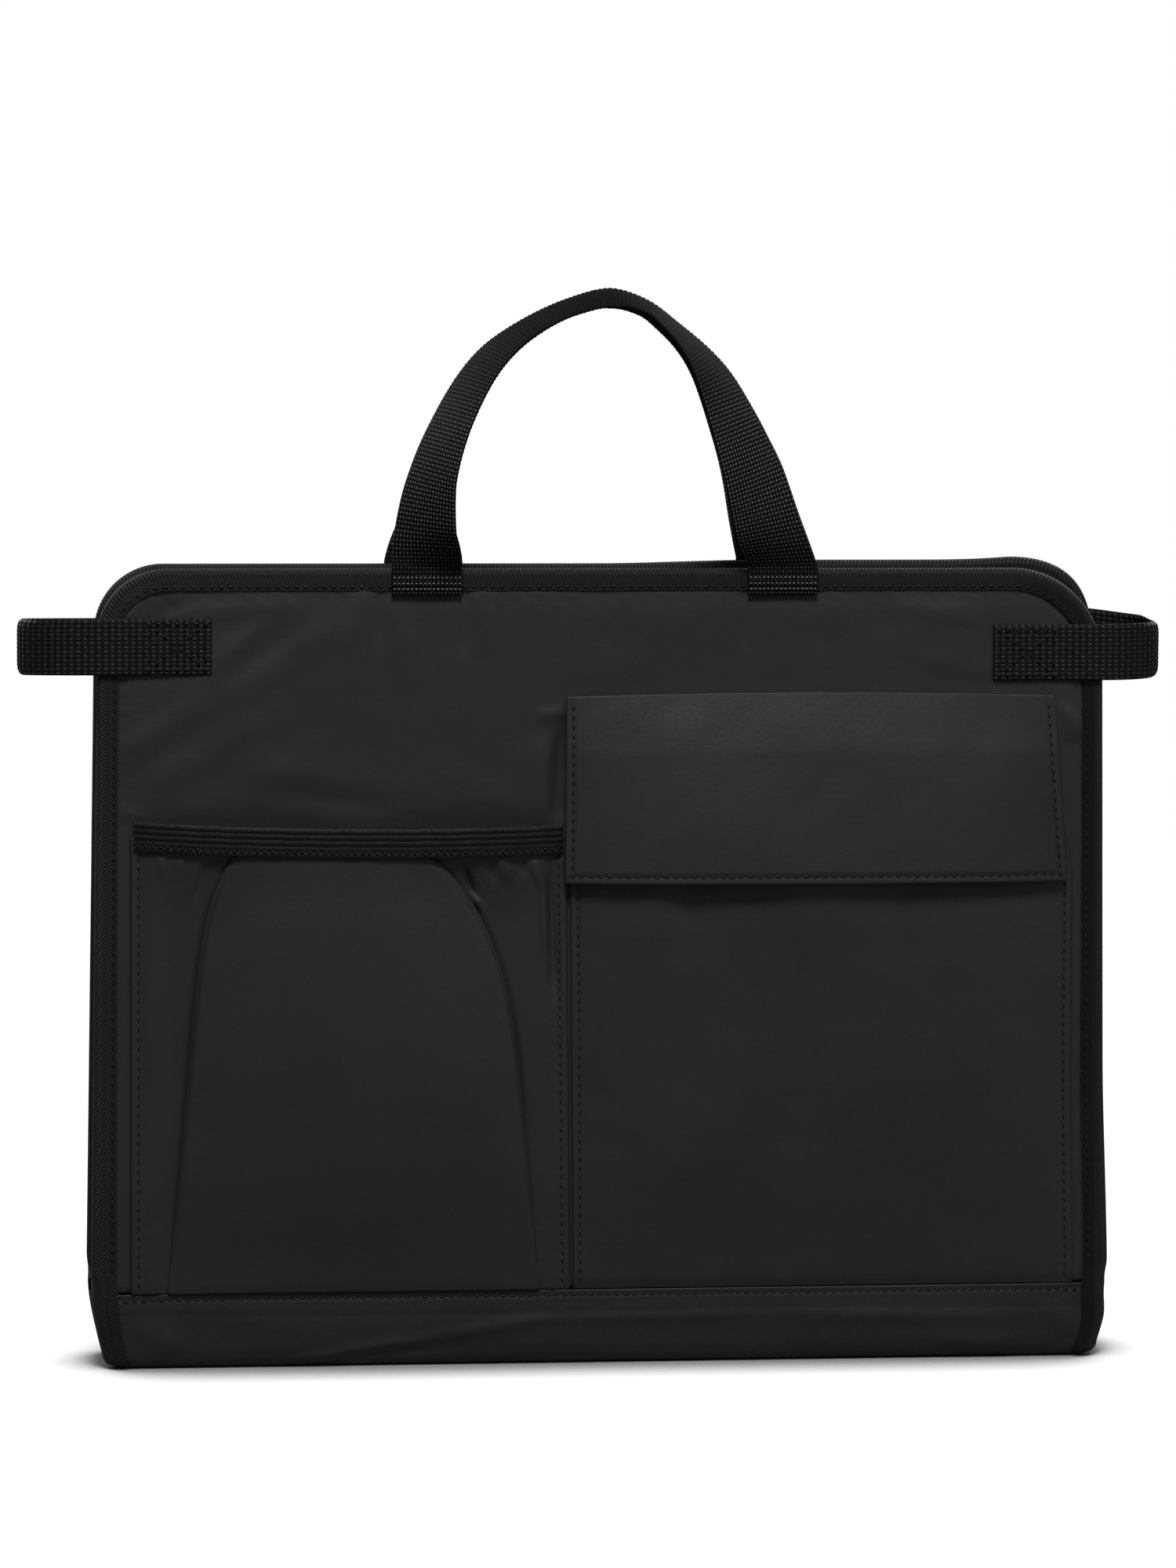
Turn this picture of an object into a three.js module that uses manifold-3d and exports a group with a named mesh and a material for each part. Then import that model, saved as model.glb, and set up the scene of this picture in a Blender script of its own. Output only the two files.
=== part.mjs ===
// Purse organizer insert: a slim open-topped bag that stands inside a larger bag. Two padded panels
// rise from a boat-shaped base and are joined by folded side gussets. The front panel carries a
// pleated pocket with an elastic mouth and a patch pocket under a flap. Each panel has a webbing
// handle, and a webbing loop links the panels at each side.
//
// Lengths are millimetres and angles are degrees. +X is to the right, the front faces -Y and +Z is up.
// The origin is the middle of the base's underside.

import * as THREE from "three";
import { mergeVertices } from "three/addons/utils/BufferGeometryUtils.js";
import Module from "manifold-3d";

const wasm = await Module();
wasm.setup();

// Whole body, measured over the binding tape
const BODY_HEIGHT = 284;
const SEAM_WIDTH = 363;
const SIDE_TAPER = 2.5;
const SEAM_HEIGHT = 27;
const SEAM_DEPTH = 42;
const MOUTH_DEPTH = 28;
const LEFT_CORNER_RADIUS = 24;
const RIGHT_CORNER_RADIUS = 33;

// Layers of a panel, from its outer face inwards
const OUTER_CLOTH = 0.7;
const FOAM_THICKNESS = 2.4;
const LINING_CLOTH = 0.6;
const LAYER_GAP = 0.25;
const SEAT_GAP = 0.3;

// Binding tape folded over the panels' edges
const BINDING_WIDTH = 8.8;
const BINDING_TAPE = 0.7;
const CUT_OVERRUN = 5;

// Base, a shallow trough that narrows towards its flat underside
const FOOT_NARROWING = 5.5;
const FOOT_THINNING = 3;
const FOOT_EDGE_RADIUS = 4;
const FOOT_CURVE_POWER = 1.6;
const BASE_CORNER_RADIUS = 5.5;
const BAND_CLOTH = 0.9;
const BOARD_THICKNESS = 2;
const BOARD_CLEARANCE = 1.5;
const BOARD_CORNER_RADIUS = 4;
const BASE_TAPE_TURN = 6;

// Gussets, flat above the base and folded inwards towards the mouth
const GUSSET_CLOTH = 0.8;
const GUSSET_FOLD = 26;
const GUSSET_TOP_DROP = 26;
const GUSSET_TOP_FLANGE = 6;
const GUSSET_EDGE_INSET = 1.2;
const GUSSET_FOLD_POWER = 0.85;
const GUSSET_CREASE_RADIUS = 1.5;

// Webbing of the handles and the side loops
const WEBBING_THICKNESS = 1.7;
const HANDLE_WIDTH = 25;
const HANDLE_SPREAD = 126.6;
const HANDLE_OVERLAP = 9;
const HANDLE_TOP_CLEARANCE = 0.8;
const HANDLE_HEIGHT = 94.5;
const HANDLE_APART = 1.6;
const HANDLE_CUP = 1.5;
const LOOP_WIDTH = 20;
const LOOP_DROP = 28.4;
const LOOP_SEWN_LENGTH = 40;
const LOOP_REACH_LEFT = 27;
const LOOP_REACH_RIGHT = 22;
const LOOP_REAR_DROP = 2.5;

// Pocket cloth on the front panel, with a margin at each side and a joint left of the middle
const POCKET_CLOTH = 0.8;
const POCKET_HEM_RISE = 0.6;
const POCKET_LEFT_MARGIN = 15.5;
const POCKET_RIGHT_MARGIN = 13;
const POCKET_JOINT_OFFSET = 10.95;
const POCKET_JOINT_GAP = 1.3;

// Pleated pocket, at the left, with an elastic band along its mouth
const PLEATED_BELOW_PATCH = 25;
const PLEATED_SEWN_EDGE = 6;
const PLEAT_LEFT_TUCK = 13.6;
const PLEAT_RIGHT_TUCK = 8.8;
const PLEAT_LEFT_DRIFT = 23.7;
const PLEAT_RIGHT_DRIFT = 33.4;
const PLEAT_LEFT_POWER = 2.5;
const PLEAT_RIGHT_POWER = 3.2;
const PLEAT_LAP = 9;
const PLEAT_TURN = 0.8;
const PLEAT_LIFT = 2.5;
const PLEATED_BULGE = 9;
const ELASTIC_WIDTH = 10.4;
const ELASTIC_THICKNESS = 1;
const ELASTIC_TOP_LAP = 2.5;
const ELASTIC_SIDE_LAP = 1;

// Patch pocket, at the right, closed by a flap with hook and loop tape
const PATCH_MOUTH_DROP = 69;
const PATCH_STANDOFF = 6;
const FLAP_LEFT_LAP = 1.7;
const FLAP_RIGHT_INSET = 1.2;
const FLAP_SEAM_ABOVE_MOUTH = 24;
const FLAP_HEIGHT = 66;
const FLAP_CLOTH = 0.9;
const FLAP_LINING_CLOTH = 0.6;
const FLAP_EDGE_STANDOFF = 1.8;
const GRIP_TAPE_LENGTH = 40;
const GRIP_TAPE_WIDTH = 14;
const GRIP_TAPE_THICKNESS = 0.9;
const GRIP_TAPE_ABOVE_HEM = 8;

// Counts of steps along curved shapes
const CORNER_STEPS = 4;
const GUSSET_ROWS = 8;
const PLEATED_ROWS = 14;
const PLEATED_COLUMNS = 12;
const ELASTIC_COLUMNS = 24;
const PATCH_ROWS = 10;
const PATCH_COLUMNS = 16;
const FLAP_ROWS = 9;
const HANDLE_STEPS = 52;
const LOOP_STEPS = 16;

// Handle's run from its left leg to its right leg: share of half the spread, share of the height and
// share of a quarter turn that the webbing has twisted
const HANDLE_RUN_SHARES = [
  [-1, 0, 0],
  [-1.005, 0.14, 0.45],
  [-0.945, 0.335, 0.62],
  [-0.84, 0.525, 0.69],
  [-0.685, 0.71, 0.745],
  [-0.55, 0.81, 0.77],
  [-0.36, 0.9, 0.84],
  [-0.17, 0.965, 0.93],
  [0.06, 1, 1],
  [0.24, 0.965, 0.94],
  [0.38, 0.9, 0.86],
  [0.53, 0.81, 0.78],
  [0.64, 0.71, 0.725],
  [0.76, 0.525, 0.58],
  [0.85, 0.335, 0.47],
  [0.93, 0.14, 0.28],
  [1, 0, 0],
];
const APEX_RUN_STEP = 8;

// Heights of the base's outline, as shares of its rounded edge and of the wall above it
const FOOT_EDGE_SHARES = [0, 0.08, 0.3, 0.6, 1];
const BASE_WALL_SHARES = [0.3, 0.65, 1];

// Crown of the pockets and the flap: the power of the falling off towards their sewn edges
const CROWN_POWER = 4;
const BULGE_POWER = 2.2;
const HEM_POWER = 3;
const MOUTH_DRAW_SHARE = 0.5;
const FLAP_RAMP_SHARE = 0.6;
const FLAP_EDGE_RAMP_SHARE = 0.3;
const ELASTIC_CROWN_POWER = 3;

// Sizes worked out from the ones above
const HALF = 0.5;
const WHOLE = 1;
const QUARTER_TURN = Math.PI / 2;
const TOP_WIDTH = SEAM_WIDTH - 2 * SIDE_TAPER;
const LOOP_HEIGHT = BODY_HEIGHT - LOOP_DROP;
const LEAN = Math.atan2((SEAM_DEPTH - MOUTH_DEPTH) / 2, BODY_HEIGHT - SEAM_HEIGHT);
const PANEL_RISE = (BODY_HEIGHT - SEAM_HEIGHT) / Math.cos(LEAN);
const BINDING_RIM = LAYER_GAP + BINDING_TAPE;
const FOAM_DEPTH = OUTER_CLOTH + LAYER_GAP;
const LINING_DEPTH = FOAM_DEPTH + FOAM_THICKNESS + LAYER_GAP;
const PANEL_THICKNESS = LINING_DEPTH + LINING_CLOTH;
const BASE_FOAM_OFFSET = BAND_CLOTH + LAYER_GAP;
const BASE_LINING_OFFSET = BASE_FOAM_OFFSET + FOAM_THICKNESS + LAYER_GAP;
const BASE_WALL = BASE_LINING_OFFSET + LINING_CLOTH;
const WEBBING_SEAT = BINDING_RIM + SEAT_GAP;
const WEBBING_MIDDLE = WEBBING_SEAT + WEBBING_THICKNESS / 2;
const LAYER_PITCH = POCKET_CLOTH + SEAT_GAP;
const PATCH_OUTER = SEAT_GAP + PATCH_STANDOFF + POCKET_CLOTH;
const LOOP_TAPE_INNER = PATCH_OUTER + LAYER_GAP;
const HOOK_TAPE_INNER = LOOP_TAPE_INNER + GRIP_TAPE_THICKNESS + LAYER_GAP;
const FLAP_INNER = HOOK_TAPE_INNER + GRIP_TAPE_THICKNESS + LAYER_GAP;
const PLEATED_LEFT = POCKET_LEFT_MARGIN - SEAM_WIDTH / 2;
const PLEATED_RIGHT = -POCKET_JOINT_OFFSET - POCKET_JOINT_GAP / 2;
const PATCH_LEFT = POCKET_JOINT_GAP / 2 - POCKET_JOINT_OFFSET;
const PATCH_RIGHT = SEAM_WIDTH / 2 - POCKET_RIGHT_MARGIN;
const PATCH_RISE = BODY_HEIGHT - SEAM_HEIGHT - PATCH_MOUTH_DROP;
const PLEATED_RISE = PATCH_RISE - PLEATED_BELOW_PATCH;
const PLEAT_LEFT_FOLD = PLEATED_LEFT + PLEAT_LEFT_TUCK;
const PLEAT_RIGHT_FOLD = PLEATED_RIGHT - PLEAT_RIGHT_TUCK;
const ELASTIC_TOP_RISE = PLEATED_RISE + ELASTIC_TOP_LAP;
const FLAP_LEFT = PATCH_LEFT - FLAP_LEFT_LAP;
const FLAP_RIGHT = PATCH_RIGHT - FLAP_RIGHT_INSET;
const FLAP_TOP_RISE = PATCH_RISE + FLAP_SEAM_ABOVE_MOUTH;

// Materials
const clothColor = 0x222327;
const flapColor = 0x26272b;
const bandColor = 0x1d1e21;
const tapeColor = 0x17171a;
const webbingColor = 0x19191c;
const foamColor = 0x3a3b3e;
const liningColor = 0x202124;
const boardColor = 0x1a1a1b;

const cloth = () => new THREE.MeshStandardMaterial({ color: clothColor, roughness: 0.72, metalness: 0 });
const flapCloth = () => new THREE.MeshStandardMaterial({ color: flapColor, roughness: 0.7, metalness: 0 });
const band = () => new THREE.MeshStandardMaterial({ color: bandColor, roughness: 0.74, metalness: 0 });
const tape = () => new THREE.MeshStandardMaterial({ color: tapeColor, roughness: 0.85, metalness: 0 });
const webbing = () => new THREE.MeshStandardMaterial({ color: webbingColor, roughness: 0.6, metalness: 0 });
const foam = () => new THREE.MeshStandardMaterial({ color: foamColor, roughness: 0.95, metalness: 0 });
const lining = () => new THREE.MeshStandardMaterial({ color: liningColor, roughness: 0.8, metalness: 0 });
const board = () => new THREE.MeshStandardMaterial({ color: boardColor, roughness: 0.5, metalness: 0 });

const organizer = new THREE.Group();

function addPiece(parent, name, geometry, material) {
  const piece = new THREE.Mesh(geometry, material);
  piece.name = name;
  parent.add(piece);
}

// Straight mix of two numbers
function mix(a, b, share) {
  return a + (b - a) * share;
}

// A closed geometry as a solid that can be cut, and back again
function toSolid(geometry) {
  const bare = geometry.clone();
  bare.deleteAttribute("normal");
  bare.deleteAttribute("uv");
  const merged = mergeVertices(bare);
  return new wasm.Manifold(new wasm.Mesh({
    numProp: 3,
    vertProperties: Float32Array.from(merged.attributes.position.array),
    triVerts: Uint32Array.from(merged.index.array),
  }));
}

function fromSolid(solid) {
  const mesh = solid.getMesh();
  const geometry = new THREE.BufferGeometry();
  geometry.setAttribute("position", new THREE.BufferAttribute(Float32Array.from(mesh.vertProperties), 3));
  geometry.setIndex(new THREE.BufferAttribute(Uint32Array.from(mesh.triVerts), 1));
  geometry.computeVertexNormals();
  return geometry;
}

// Twice the signed area of a polygon or a triangle in a plane
function signedArea(points) {
  let area = 0;
  points.forEach((point, i) => {
    const next = points[(i + 1) % points.length];
    area += point.x * next.y - next.x * point.y;
  });
  return area;
}

// Triangles that fill one ring of points, wound the same way as the ring
function capFaces(ring) {
  const normal = new THREE.Vector3();
  ring.forEach((point, i) => {
    normal.add(point.clone().cross(ring[(i + 1) % ring.length]));
  });
  const across = Math.abs(normal.x) > Math.abs(normal.y) && Math.abs(normal.x) > Math.abs(normal.z);
  const upright = !across && Math.abs(normal.z) > Math.abs(normal.y);
  const flat = ring.map((point) => {
    if (across) {
      return new THREE.Vector2(point.y, point.z);
    }
    return upright ? new THREE.Vector2(point.x, point.y) : new THREE.Vector2(point.x, point.z);
  });
  const turn = Math.sign(signedArea(flat));
  return THREE.ShapeUtils.triangulateShape(flat.slice(), []).map((face) => {
    const same = Math.sign(signedArea(face.map((index) => flat[index]))) === turn;
    return same ? face : [face[0], face[2], face[1]];
  });
}

// Closed solid through a run of rings that have the same number of points. Each four-cornered patch
// is split along its shorter diagonal, so that parallel sheets are split alike.
function loftSolid(rings) {
  const size = rings[0].length;
  const points = rings.flat();
  const faces = [];
  for (let row = 0; row + 1 < rings.length; row += 1) {
    for (let i = 0; i < size; i += 1) {
      const next = (i + 1) % size;
      const low = row * size;
      const high = low + size;
      const rising = points[low + i].distanceTo(points[high + next]);
      const falling = points[low + next].distanceTo(points[high + i]);
      if (rising < falling) {
        faces.push([low + i, low + next, high + next], [low + i, high + next, high + i]);
      } else {
        faces.push([low + i, low + next, high + i], [low + next, high + next, high + i]);
      }
    }
  }
  const last = (rings.length - 1) * size;
  capFaces(rings[0]).forEach((face) => faces.push([face[0], face[2], face[1]]));
  capFaces(rings.at(-1)).forEach((face) => faces.push(face.map((index) => last + index)));

  const volume = faces.reduce((sum, [a, b, c]) => {
    return sum + points[a].dot(points[b].clone().cross(points[c]));
  }, 0);
  const geometry = new THREE.BufferGeometry().setFromPoints(points);
  geometry.setIndex(faces.flatMap(([a, b, c]) => (volume > 0 ? [a, b, c] : [a, c, b])));
  geometry.computeVertexNormals();
  return geometry;
}

// Closed outline of a strip of cloth whose middle follows a line of flat points
function stripOutline(line, thickness) {
  const leftSide = [];
  const rightSide = [];
  line.forEach((point, i) => {
    const before = line[Math.max(i - 1, 0)];
    const after = line[Math.min(i + 1, line.length - 1)];
    const arriving = point.clone().sub(before);
    const leaving = after.clone().sub(point);
    const first = (arriving.lengthSq() > 0 ? arriving : leaving).clone().normalize();
    const second = (leaving.lengthSq() > 0 ? leaving : arriving).clone().normalize();
    const firstNormal = new THREE.Vector2(-first.y, first.x);
    const bisector = new THREE.Vector2(-first.y - second.y, first.x + second.x).normalize();
    const reach = thickness / 2 / bisector.dot(firstNormal);
    leftSide.push(point.clone().addScaledVector(bisector, reach));
    rightSide.push(point.clone().addScaledVector(bisector, -reach));
  });
  return [...leftSide, ...rightSide.reverse()];
}

// Outline of a panel at an inset from the body's edge, seen from outside
function panelOutline(inset, bottom, radii) {
  const halfSeam = SEAM_WIDTH / 2 - inset;
  const top = PANEL_RISE - radii.right;
  const leftTop = PANEL_RISE - radii.left;
  const shape = new THREE.Shape();
  shape.moveTo(-halfSeam, bottom);
  shape.lineTo(halfSeam, bottom);
  shape.absarc(TOP_WIDTH / 2 - radii.right, top, radii.right - inset, 0, QUARTER_TURN, false);
  shape.absarc(radii.left - TOP_WIDTH / 2, leftTop, radii.left - inset, QUARTER_TURN, Math.PI, false);
  return shape;
}

// Slab of a panel's outline, from one depth behind the outer face to another
function panelSlab(inset, depth, thickness, bottom, radii) {
  const outline = panelOutline(inset, bottom, radii);
  const options = { depth: thickness, bevelEnabled: false, curveSegments: CORNER_STEPS };
  const slab = new THREE.ExtrudeGeometry(outline, options);
  slab.rotateX(QUARTER_TURN);
  slab.translate(0, depth + thickness, 0);
  return slab;
}

function panelBinding(radii) {
  const thickness = PANEL_THICKNESS + 2 * BINDING_RIM;
  const slot = PANEL_THICKNESS + 2 * LAYER_GAP;
  const outside = panelSlab(0, -BINDING_RIM, thickness, SEAT_GAP, radii);
  const hollow = panelSlab(BINDING_TAPE, -LAYER_GAP, slot, -CUT_OVERRUN, radii);
  const overrunDepth = BINDING_RIM + CUT_OVERRUN;
  const windowThickness = PANEL_THICKNESS + 2 * overrunDepth;
  const window = panelSlab(BINDING_WIDTH, -overrunDepth, windowThickness, -CUT_OVERRUN, radii);
  return fromSolid(toSolid(outside).subtract(toSolid(hollow)).subtract(toSolid(window)));
}

// Group in which a panel is built: its origin is the seam, +Y points into the bag, +Z up the panel
function panelFrame(turn) {
  const side = new THREE.Group();
  const frame = new THREE.Group();
  side.rotation.z = turn;
  frame.position.set(0, -SEAM_DEPTH / 2, SEAM_HEIGHT);
  frame.rotation.x = -LEAN;
  side.add(frame);
  organizer.add(side);
  return frame;
}

function addPanel(frame, name, radii) {
  const outer = panelSlab(BINDING_RIM, 0, OUTER_CLOTH, SEAT_GAP, radii);
  const padding = panelSlab(BINDING_RIM, FOAM_DEPTH, FOAM_THICKNESS, SEAT_GAP, radii);
  const inner = panelSlab(BINDING_RIM, LINING_DEPTH, LINING_CLOTH, SEAT_GAP, radii);
  addPiece(frame, `${name}_outer_panel`, outer, cloth());
  addPiece(frame, `${name}_foam`, padding, foam());
  addPiece(frame, `${name}_lining`, inner, lining());
  addPiece(frame, `${name}_binding`, panelBinding(radii), tape());
}

// Sewn ends of a handle, flat on the binding at the panel's top edge
function addHandleTabs(frame, leftName, rightName) {
  const top = PANEL_RISE + HANDLE_TOP_CLEARANCE;
  const length = HANDLE_OVERLAP + HANDLE_TOP_CLEARANCE;
  [[leftName, -HALF], [rightName, HALF]].forEach(([name, spreadShare]) => {
    const tab = new THREE.BoxGeometry(HANDLE_WIDTH, WEBBING_THICKNESS, length);
    tab.translate(HANDLE_SPREAD * spreadShare, -WEBBING_MIDDLE, top - length / 2);
    addPiece(frame, name, tab, webbing());
  });
}

// A place on the front panel in the whole object's frame
function frontPoint(x, depth, rise) {
  const y = depth * Math.cos(LEAN) + rise * Math.sin(LEAN) - SEAM_DEPTH / 2;
  const z = rise * Math.cos(LEAN) - depth * Math.sin(LEAN) + SEAM_HEIGHT;
  return new THREE.Vector3(x, y, z);
}

// Base: how far its outline is drawn in at a height, towards the flat underside
function footInset(height, reach) {
  const wall = reach * Math.max(0, 1 - height / SEAM_HEIGHT) ** FOOT_CURVE_POWER;
  const below = Math.max(0, 1 - height / FOOT_EDGE_RADIUS);
  return wall + FOOT_EDGE_RADIUS * (1 - Math.sqrt(1 - below * below));
}

function roundedRing(halfLength, halfDepth, radius, z) {
  const ring = [];
  const cornerSigns = [[1, 1], [-1, 1], [-1, -1], [1, -1]];
  cornerSigns.forEach(([signX, signY], corner) => {
    for (let step = 0; step <= CORNER_STEPS; step += 1) {
      const angle = (corner + step / CORNER_STEPS) * QUARTER_TURN;
      const x = signX * (halfLength - radius) + radius * Math.cos(angle);
      const y = signY * (halfDepth - radius) + radius * Math.sin(angle);
      ring.push(new THREE.Vector3(x, y, z));
    }
  });
  return ring;
}

function baseRing(height, offset) {
  const halfLength = SEAM_WIDTH / 2 - BINDING_RIM - footInset(height, FOOT_NARROWING) - offset;
  const halfDepth = SEAM_DEPTH / 2 - footInset(height, FOOT_THINNING) - offset;
  const z = mix(offset, SEAM_HEIGHT, height / SEAM_HEIGHT);
  return roundedRing(halfLength, halfDepth, BASE_CORNER_RADIUS - offset, z);
}

function baseHeights() {
  const edge = FOOT_EDGE_SHARES.map((share) => share * FOOT_EDGE_RADIUS);
  const wall = BASE_WALL_SHARES.map((share) => mix(FOOT_EDGE_RADIUS, SEAM_HEIGHT, share));
  return [...edge, ...wall];
}

// One cloth or foam layer of the base, between two offsets from its outer face
function baseLayer(outerOffset, innerOffset) {
  const heights = baseHeights();
  const outside = heights.map((height) => baseRing(height, outerOffset));
  const inside = heights.map((height) => baseRing(height, innerOffset)).reverse();
  return loftSolid([...outside, ...inside]);
}

// Lower end of a binding tape: it wraps one corner of the base, clear of the flat underside
function baseBinding(signX, signY) {
  const heights = baseHeights();
  const outside = toSolid(loftSolid(heights.map((height) => baseRing(height, -BINDING_RIM))));
  const inside = toSolid(loftSolid(heights.map((height) => baseRing(height, -LAYER_GAP))));
  const low = FOOT_EDGE_RADIUS / 2;
  const length = BINDING_WIDTH + FOOT_NARROWING + CUT_OVERRUN;
  const depth = BASE_TAPE_TURN + CUT_OVERRUN;
  const corner = new THREE.BoxGeometry(length, depth, SEAM_HEIGHT - low);
  const x = SEAM_WIDTH / 2 - BINDING_WIDTH - FOOT_NARROWING + length / 2;
  const y = SEAM_DEPTH / 2 - BASE_TAPE_TURN + depth / 2;
  corner.translate(signX * x, signY * y, (SEAM_HEIGHT + low) / 2);
  return fromSolid(outside.subtract(inside).intersect(toSolid(corner)));
}

function addBase() {
  addPiece(organizer, "base_band", baseLayer(0, BAND_CLOTH), band());
  const padding = baseLayer(BASE_FOAM_OFFSET, BASE_FOAM_OFFSET + FOAM_THICKNESS);
  addPiece(organizer, "base_foam", padding, foam());
  addPiece(organizer, "base_lining", baseLayer(BASE_LINING_OFFSET, BASE_WALL), lining());

  const low = BASE_WALL + SEAT_GAP;
  const high = low + BOARD_THICKNESS;
  const floor = BASE_WALL + BOARD_CLEARANCE;
  const halfLength = SEAM_WIDTH / 2 - BINDING_RIM - footInset(0, FOOT_NARROWING) - floor;
  const halfDepth = SEAM_DEPTH / 2 - footInset(0, FOOT_THINNING) - floor;
  const rings = [low, high].map((z) => roundedRing(halfLength, halfDepth, BOARD_CORNER_RADIUS, z));
  addPiece(organizer, "base_board", loftSolid(rings), board());

  addPiece(organizer, "base_binding_front_left", baseBinding(-1, -1), tape());
  addPiece(organizer, "base_binding_front_right", baseBinding(1, -1), tape());
  addPiece(organizer, "base_binding_rear_left", baseBinding(-1, 1), tape());
  addPiece(organizer, "base_binding_rear_right", baseBinding(1, 1), tape());
}

// Side gusset: its edges lie on the inner flanges of the bindings, and its middle folds inwards
function gusset(sign) {
  const rings = [];
  for (let row = 0; row <= GUSSET_ROWS; row += 1) {
    const share = row / GUSSET_ROWS;
    const z = mix(SEAM_HEIGHT + SEAT_GAP, BODY_HEIGHT - GUSSET_TOP_DROP, share);
    const rise = (z - SEAM_HEIGHT) / Math.cos(LEAN);
    const halfWidth = mix(SEAM_WIDTH, TOP_WIDTH, rise / PANEL_RISE) / 2;
    const backOfBinding = PANEL_THICKNESS + BINDING_RIM + SEAT_GAP + GUSSET_CLOTH / 2;
    const halfGap = -frontPoint(0, backOfBinding, rise).y;
    const edge = halfWidth - GUSSET_EDGE_INSET;
    const bend = edge - mix(GUSSET_EDGE_INSET, GUSSET_TOP_FLANGE, share);
    const fold = bend - GUSSET_FOLD * share ** GUSSET_FOLD_POWER;
    const line = [
      new THREE.Vector2(sign * edge, -halfGap),
      new THREE.Vector2(sign * bend, -halfGap),
      new THREE.Vector2(sign * fold, -GUSSET_CREASE_RADIUS),
      new THREE.Vector2(sign * fold, GUSSET_CREASE_RADIUS),
      new THREE.Vector2(sign * bend, halfGap),
      new THREE.Vector2(sign * edge, halfGap),
    ];
    rings.push(stripOutline(line, GUSSET_CLOTH).map((point) => new THREE.Vector3(point.x, point.y, z)));
  }
  return loftSolid(rings);
}

// Strip of webbing through stations that each give its middle, its width and its outward direction
function strapSolid(stations, width) {
  return loftSolid(stations.map(({ middle, across, outward, cup }) => {
    const corner = (side, face, lift) => middle.clone()
      .addScaledVector(across, side * width / 2)
      .addScaledVector(outward, face * WEBBING_THICKNESS / 2 + lift);
    return [
      corner(-1, 1, 0), corner(0, 1, cup), corner(1, 1, 0),
      corner(1, -1, 0), corner(0, -1, cup), corner(-1, -1, 0),
    ];
  }));
}

// Handle: its legs start flat on the panel and twist, so that its top lies across the bag. The lines
// across the webbing stay level at its sewn feet and square to its run above them.
function handle(facing) {
  const foot = frontPoint(0, -WEBBING_MIDDLE, PANEL_RISE + HANDLE_TOP_CLEARANCE + SEAT_GAP);
  const apexY = -(HANDLE_WIDTH + HANDLE_APART) / 2;
  const route = HANDLE_RUN_SHARES.map(([spreadShare, heightShare]) => {
    const y = mix(foot.y, apexY, Math.sqrt(heightShare) * heightShare);
    return new THREE.Vector3(spreadShare * HANDLE_SPREAD / 2, y, foot.z + heightShare * HANDLE_HEIGHT);
  });
  const curve = new THREE.CatmullRomCurve3(route, false, "centripetal");
  const stations = [];
  for (let step = 0; step <= HANDLE_STEPS; step += 1) {
    const run = step / HANDLE_STEPS * (HANDLE_RUN_SHARES.length - 1);
    const low = Math.min(Math.floor(run), HANDLE_RUN_SHARES.length - 2);
    const twistShare = mix(HANDLE_RUN_SHARES[low][2], HANDLE_RUN_SHARES[low + 1][2], run - low);
    const quarter = twistShare * QUARTER_TURN;
    const twist = run <= APEX_RUN_STEP ? quarter : Math.PI - quarter;
    const middle = curve.getPoint(step / HANDLE_STEPS);
    const ends = step === 0 || step === HANDLE_STEPS;
    const tangent = curve.getTangent(step / HANDLE_STEPS);
    if (ends) {
      tangent.set(0, Math.sin(LEAN), Math.cos(LEAN)).multiplyScalar(step === 0 ? 1 : -1);
    }
    const across = new THREE.Vector3(Math.cos(twist), -Math.sin(twist), 0);
    const tiltShare = Math.min(1, (middle.z - foot.z) / HANDLE_WIDTH);
    across.addScaledVector(tangent, -across.dot(tangent) * tiltShare).normalize();
    const outward = across.clone().cross(tangent).normalize();
    stations.push({ middle, across, outward, cup: HANDLE_CUP * twistShare });
  }
  stations.forEach((station) => {
    [station.middle, station.across, station.outward].forEach((vector) => {
      vector.y *= facing;
    });
  });
  return strapSolid(stations, HANDLE_WIDTH);
}

// Side loop: sewn flat on both panels near their top corners, with a rounded bight outside them. It
// slants down towards the rear.
function sideLoop(sign, reach) {
  const rise = (LOOP_HEIGHT - SEAM_HEIGHT) / Math.cos(LEAN);
  const edge = mix(SEAM_WIDTH, TOP_WIDTH, rise / PANEL_RISE) / 2;
  const seatY = frontPoint(0, -WEBBING_MIDDLE, rise).y;
  const endY = frontPoint(0, -SEAT_GAP - WEBBING_THICKNESS / 2, rise).y;
  const line = [new THREE.Vector2(edge - LOOP_SEWN_LENGTH, endY)];
  line.push(new THREE.Vector2(edge - BINDING_WIDTH, seatY));
  for (let step = 0; step <= LOOP_STEPS; step += 1) {
    const angle = (step / LOOP_STEPS) * Math.PI;
    line.push(new THREE.Vector2(edge + reach * Math.sin(angle), seatY * Math.cos(angle)));
  }
  line.push(new THREE.Vector2(edge - BINDING_WIDTH, -seatY));
  line.push(new THREE.Vector2(edge - LOOP_SEWN_LENGTH, -endY));
  const outline = stripOutline(line, WEBBING_THICKNESS);
  const rings = [-HALF, HALF].map((levelShare) => outline.map((point) => {
    const z = LOOP_HEIGHT + levelShare * LOOP_WIDTH;
    const rearShare = HALF + HALF * point.y / Math.abs(seatY);
    const drift = -Math.tan(LEAN) * levelShare * LOOP_WIDTH * point.y / Math.abs(seatY);
    return new THREE.Vector3(sign * point.x, point.y + drift, z - LOOP_REAR_DROP * rearShare);
  }));
  return loftSolid(rings);
}

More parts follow.
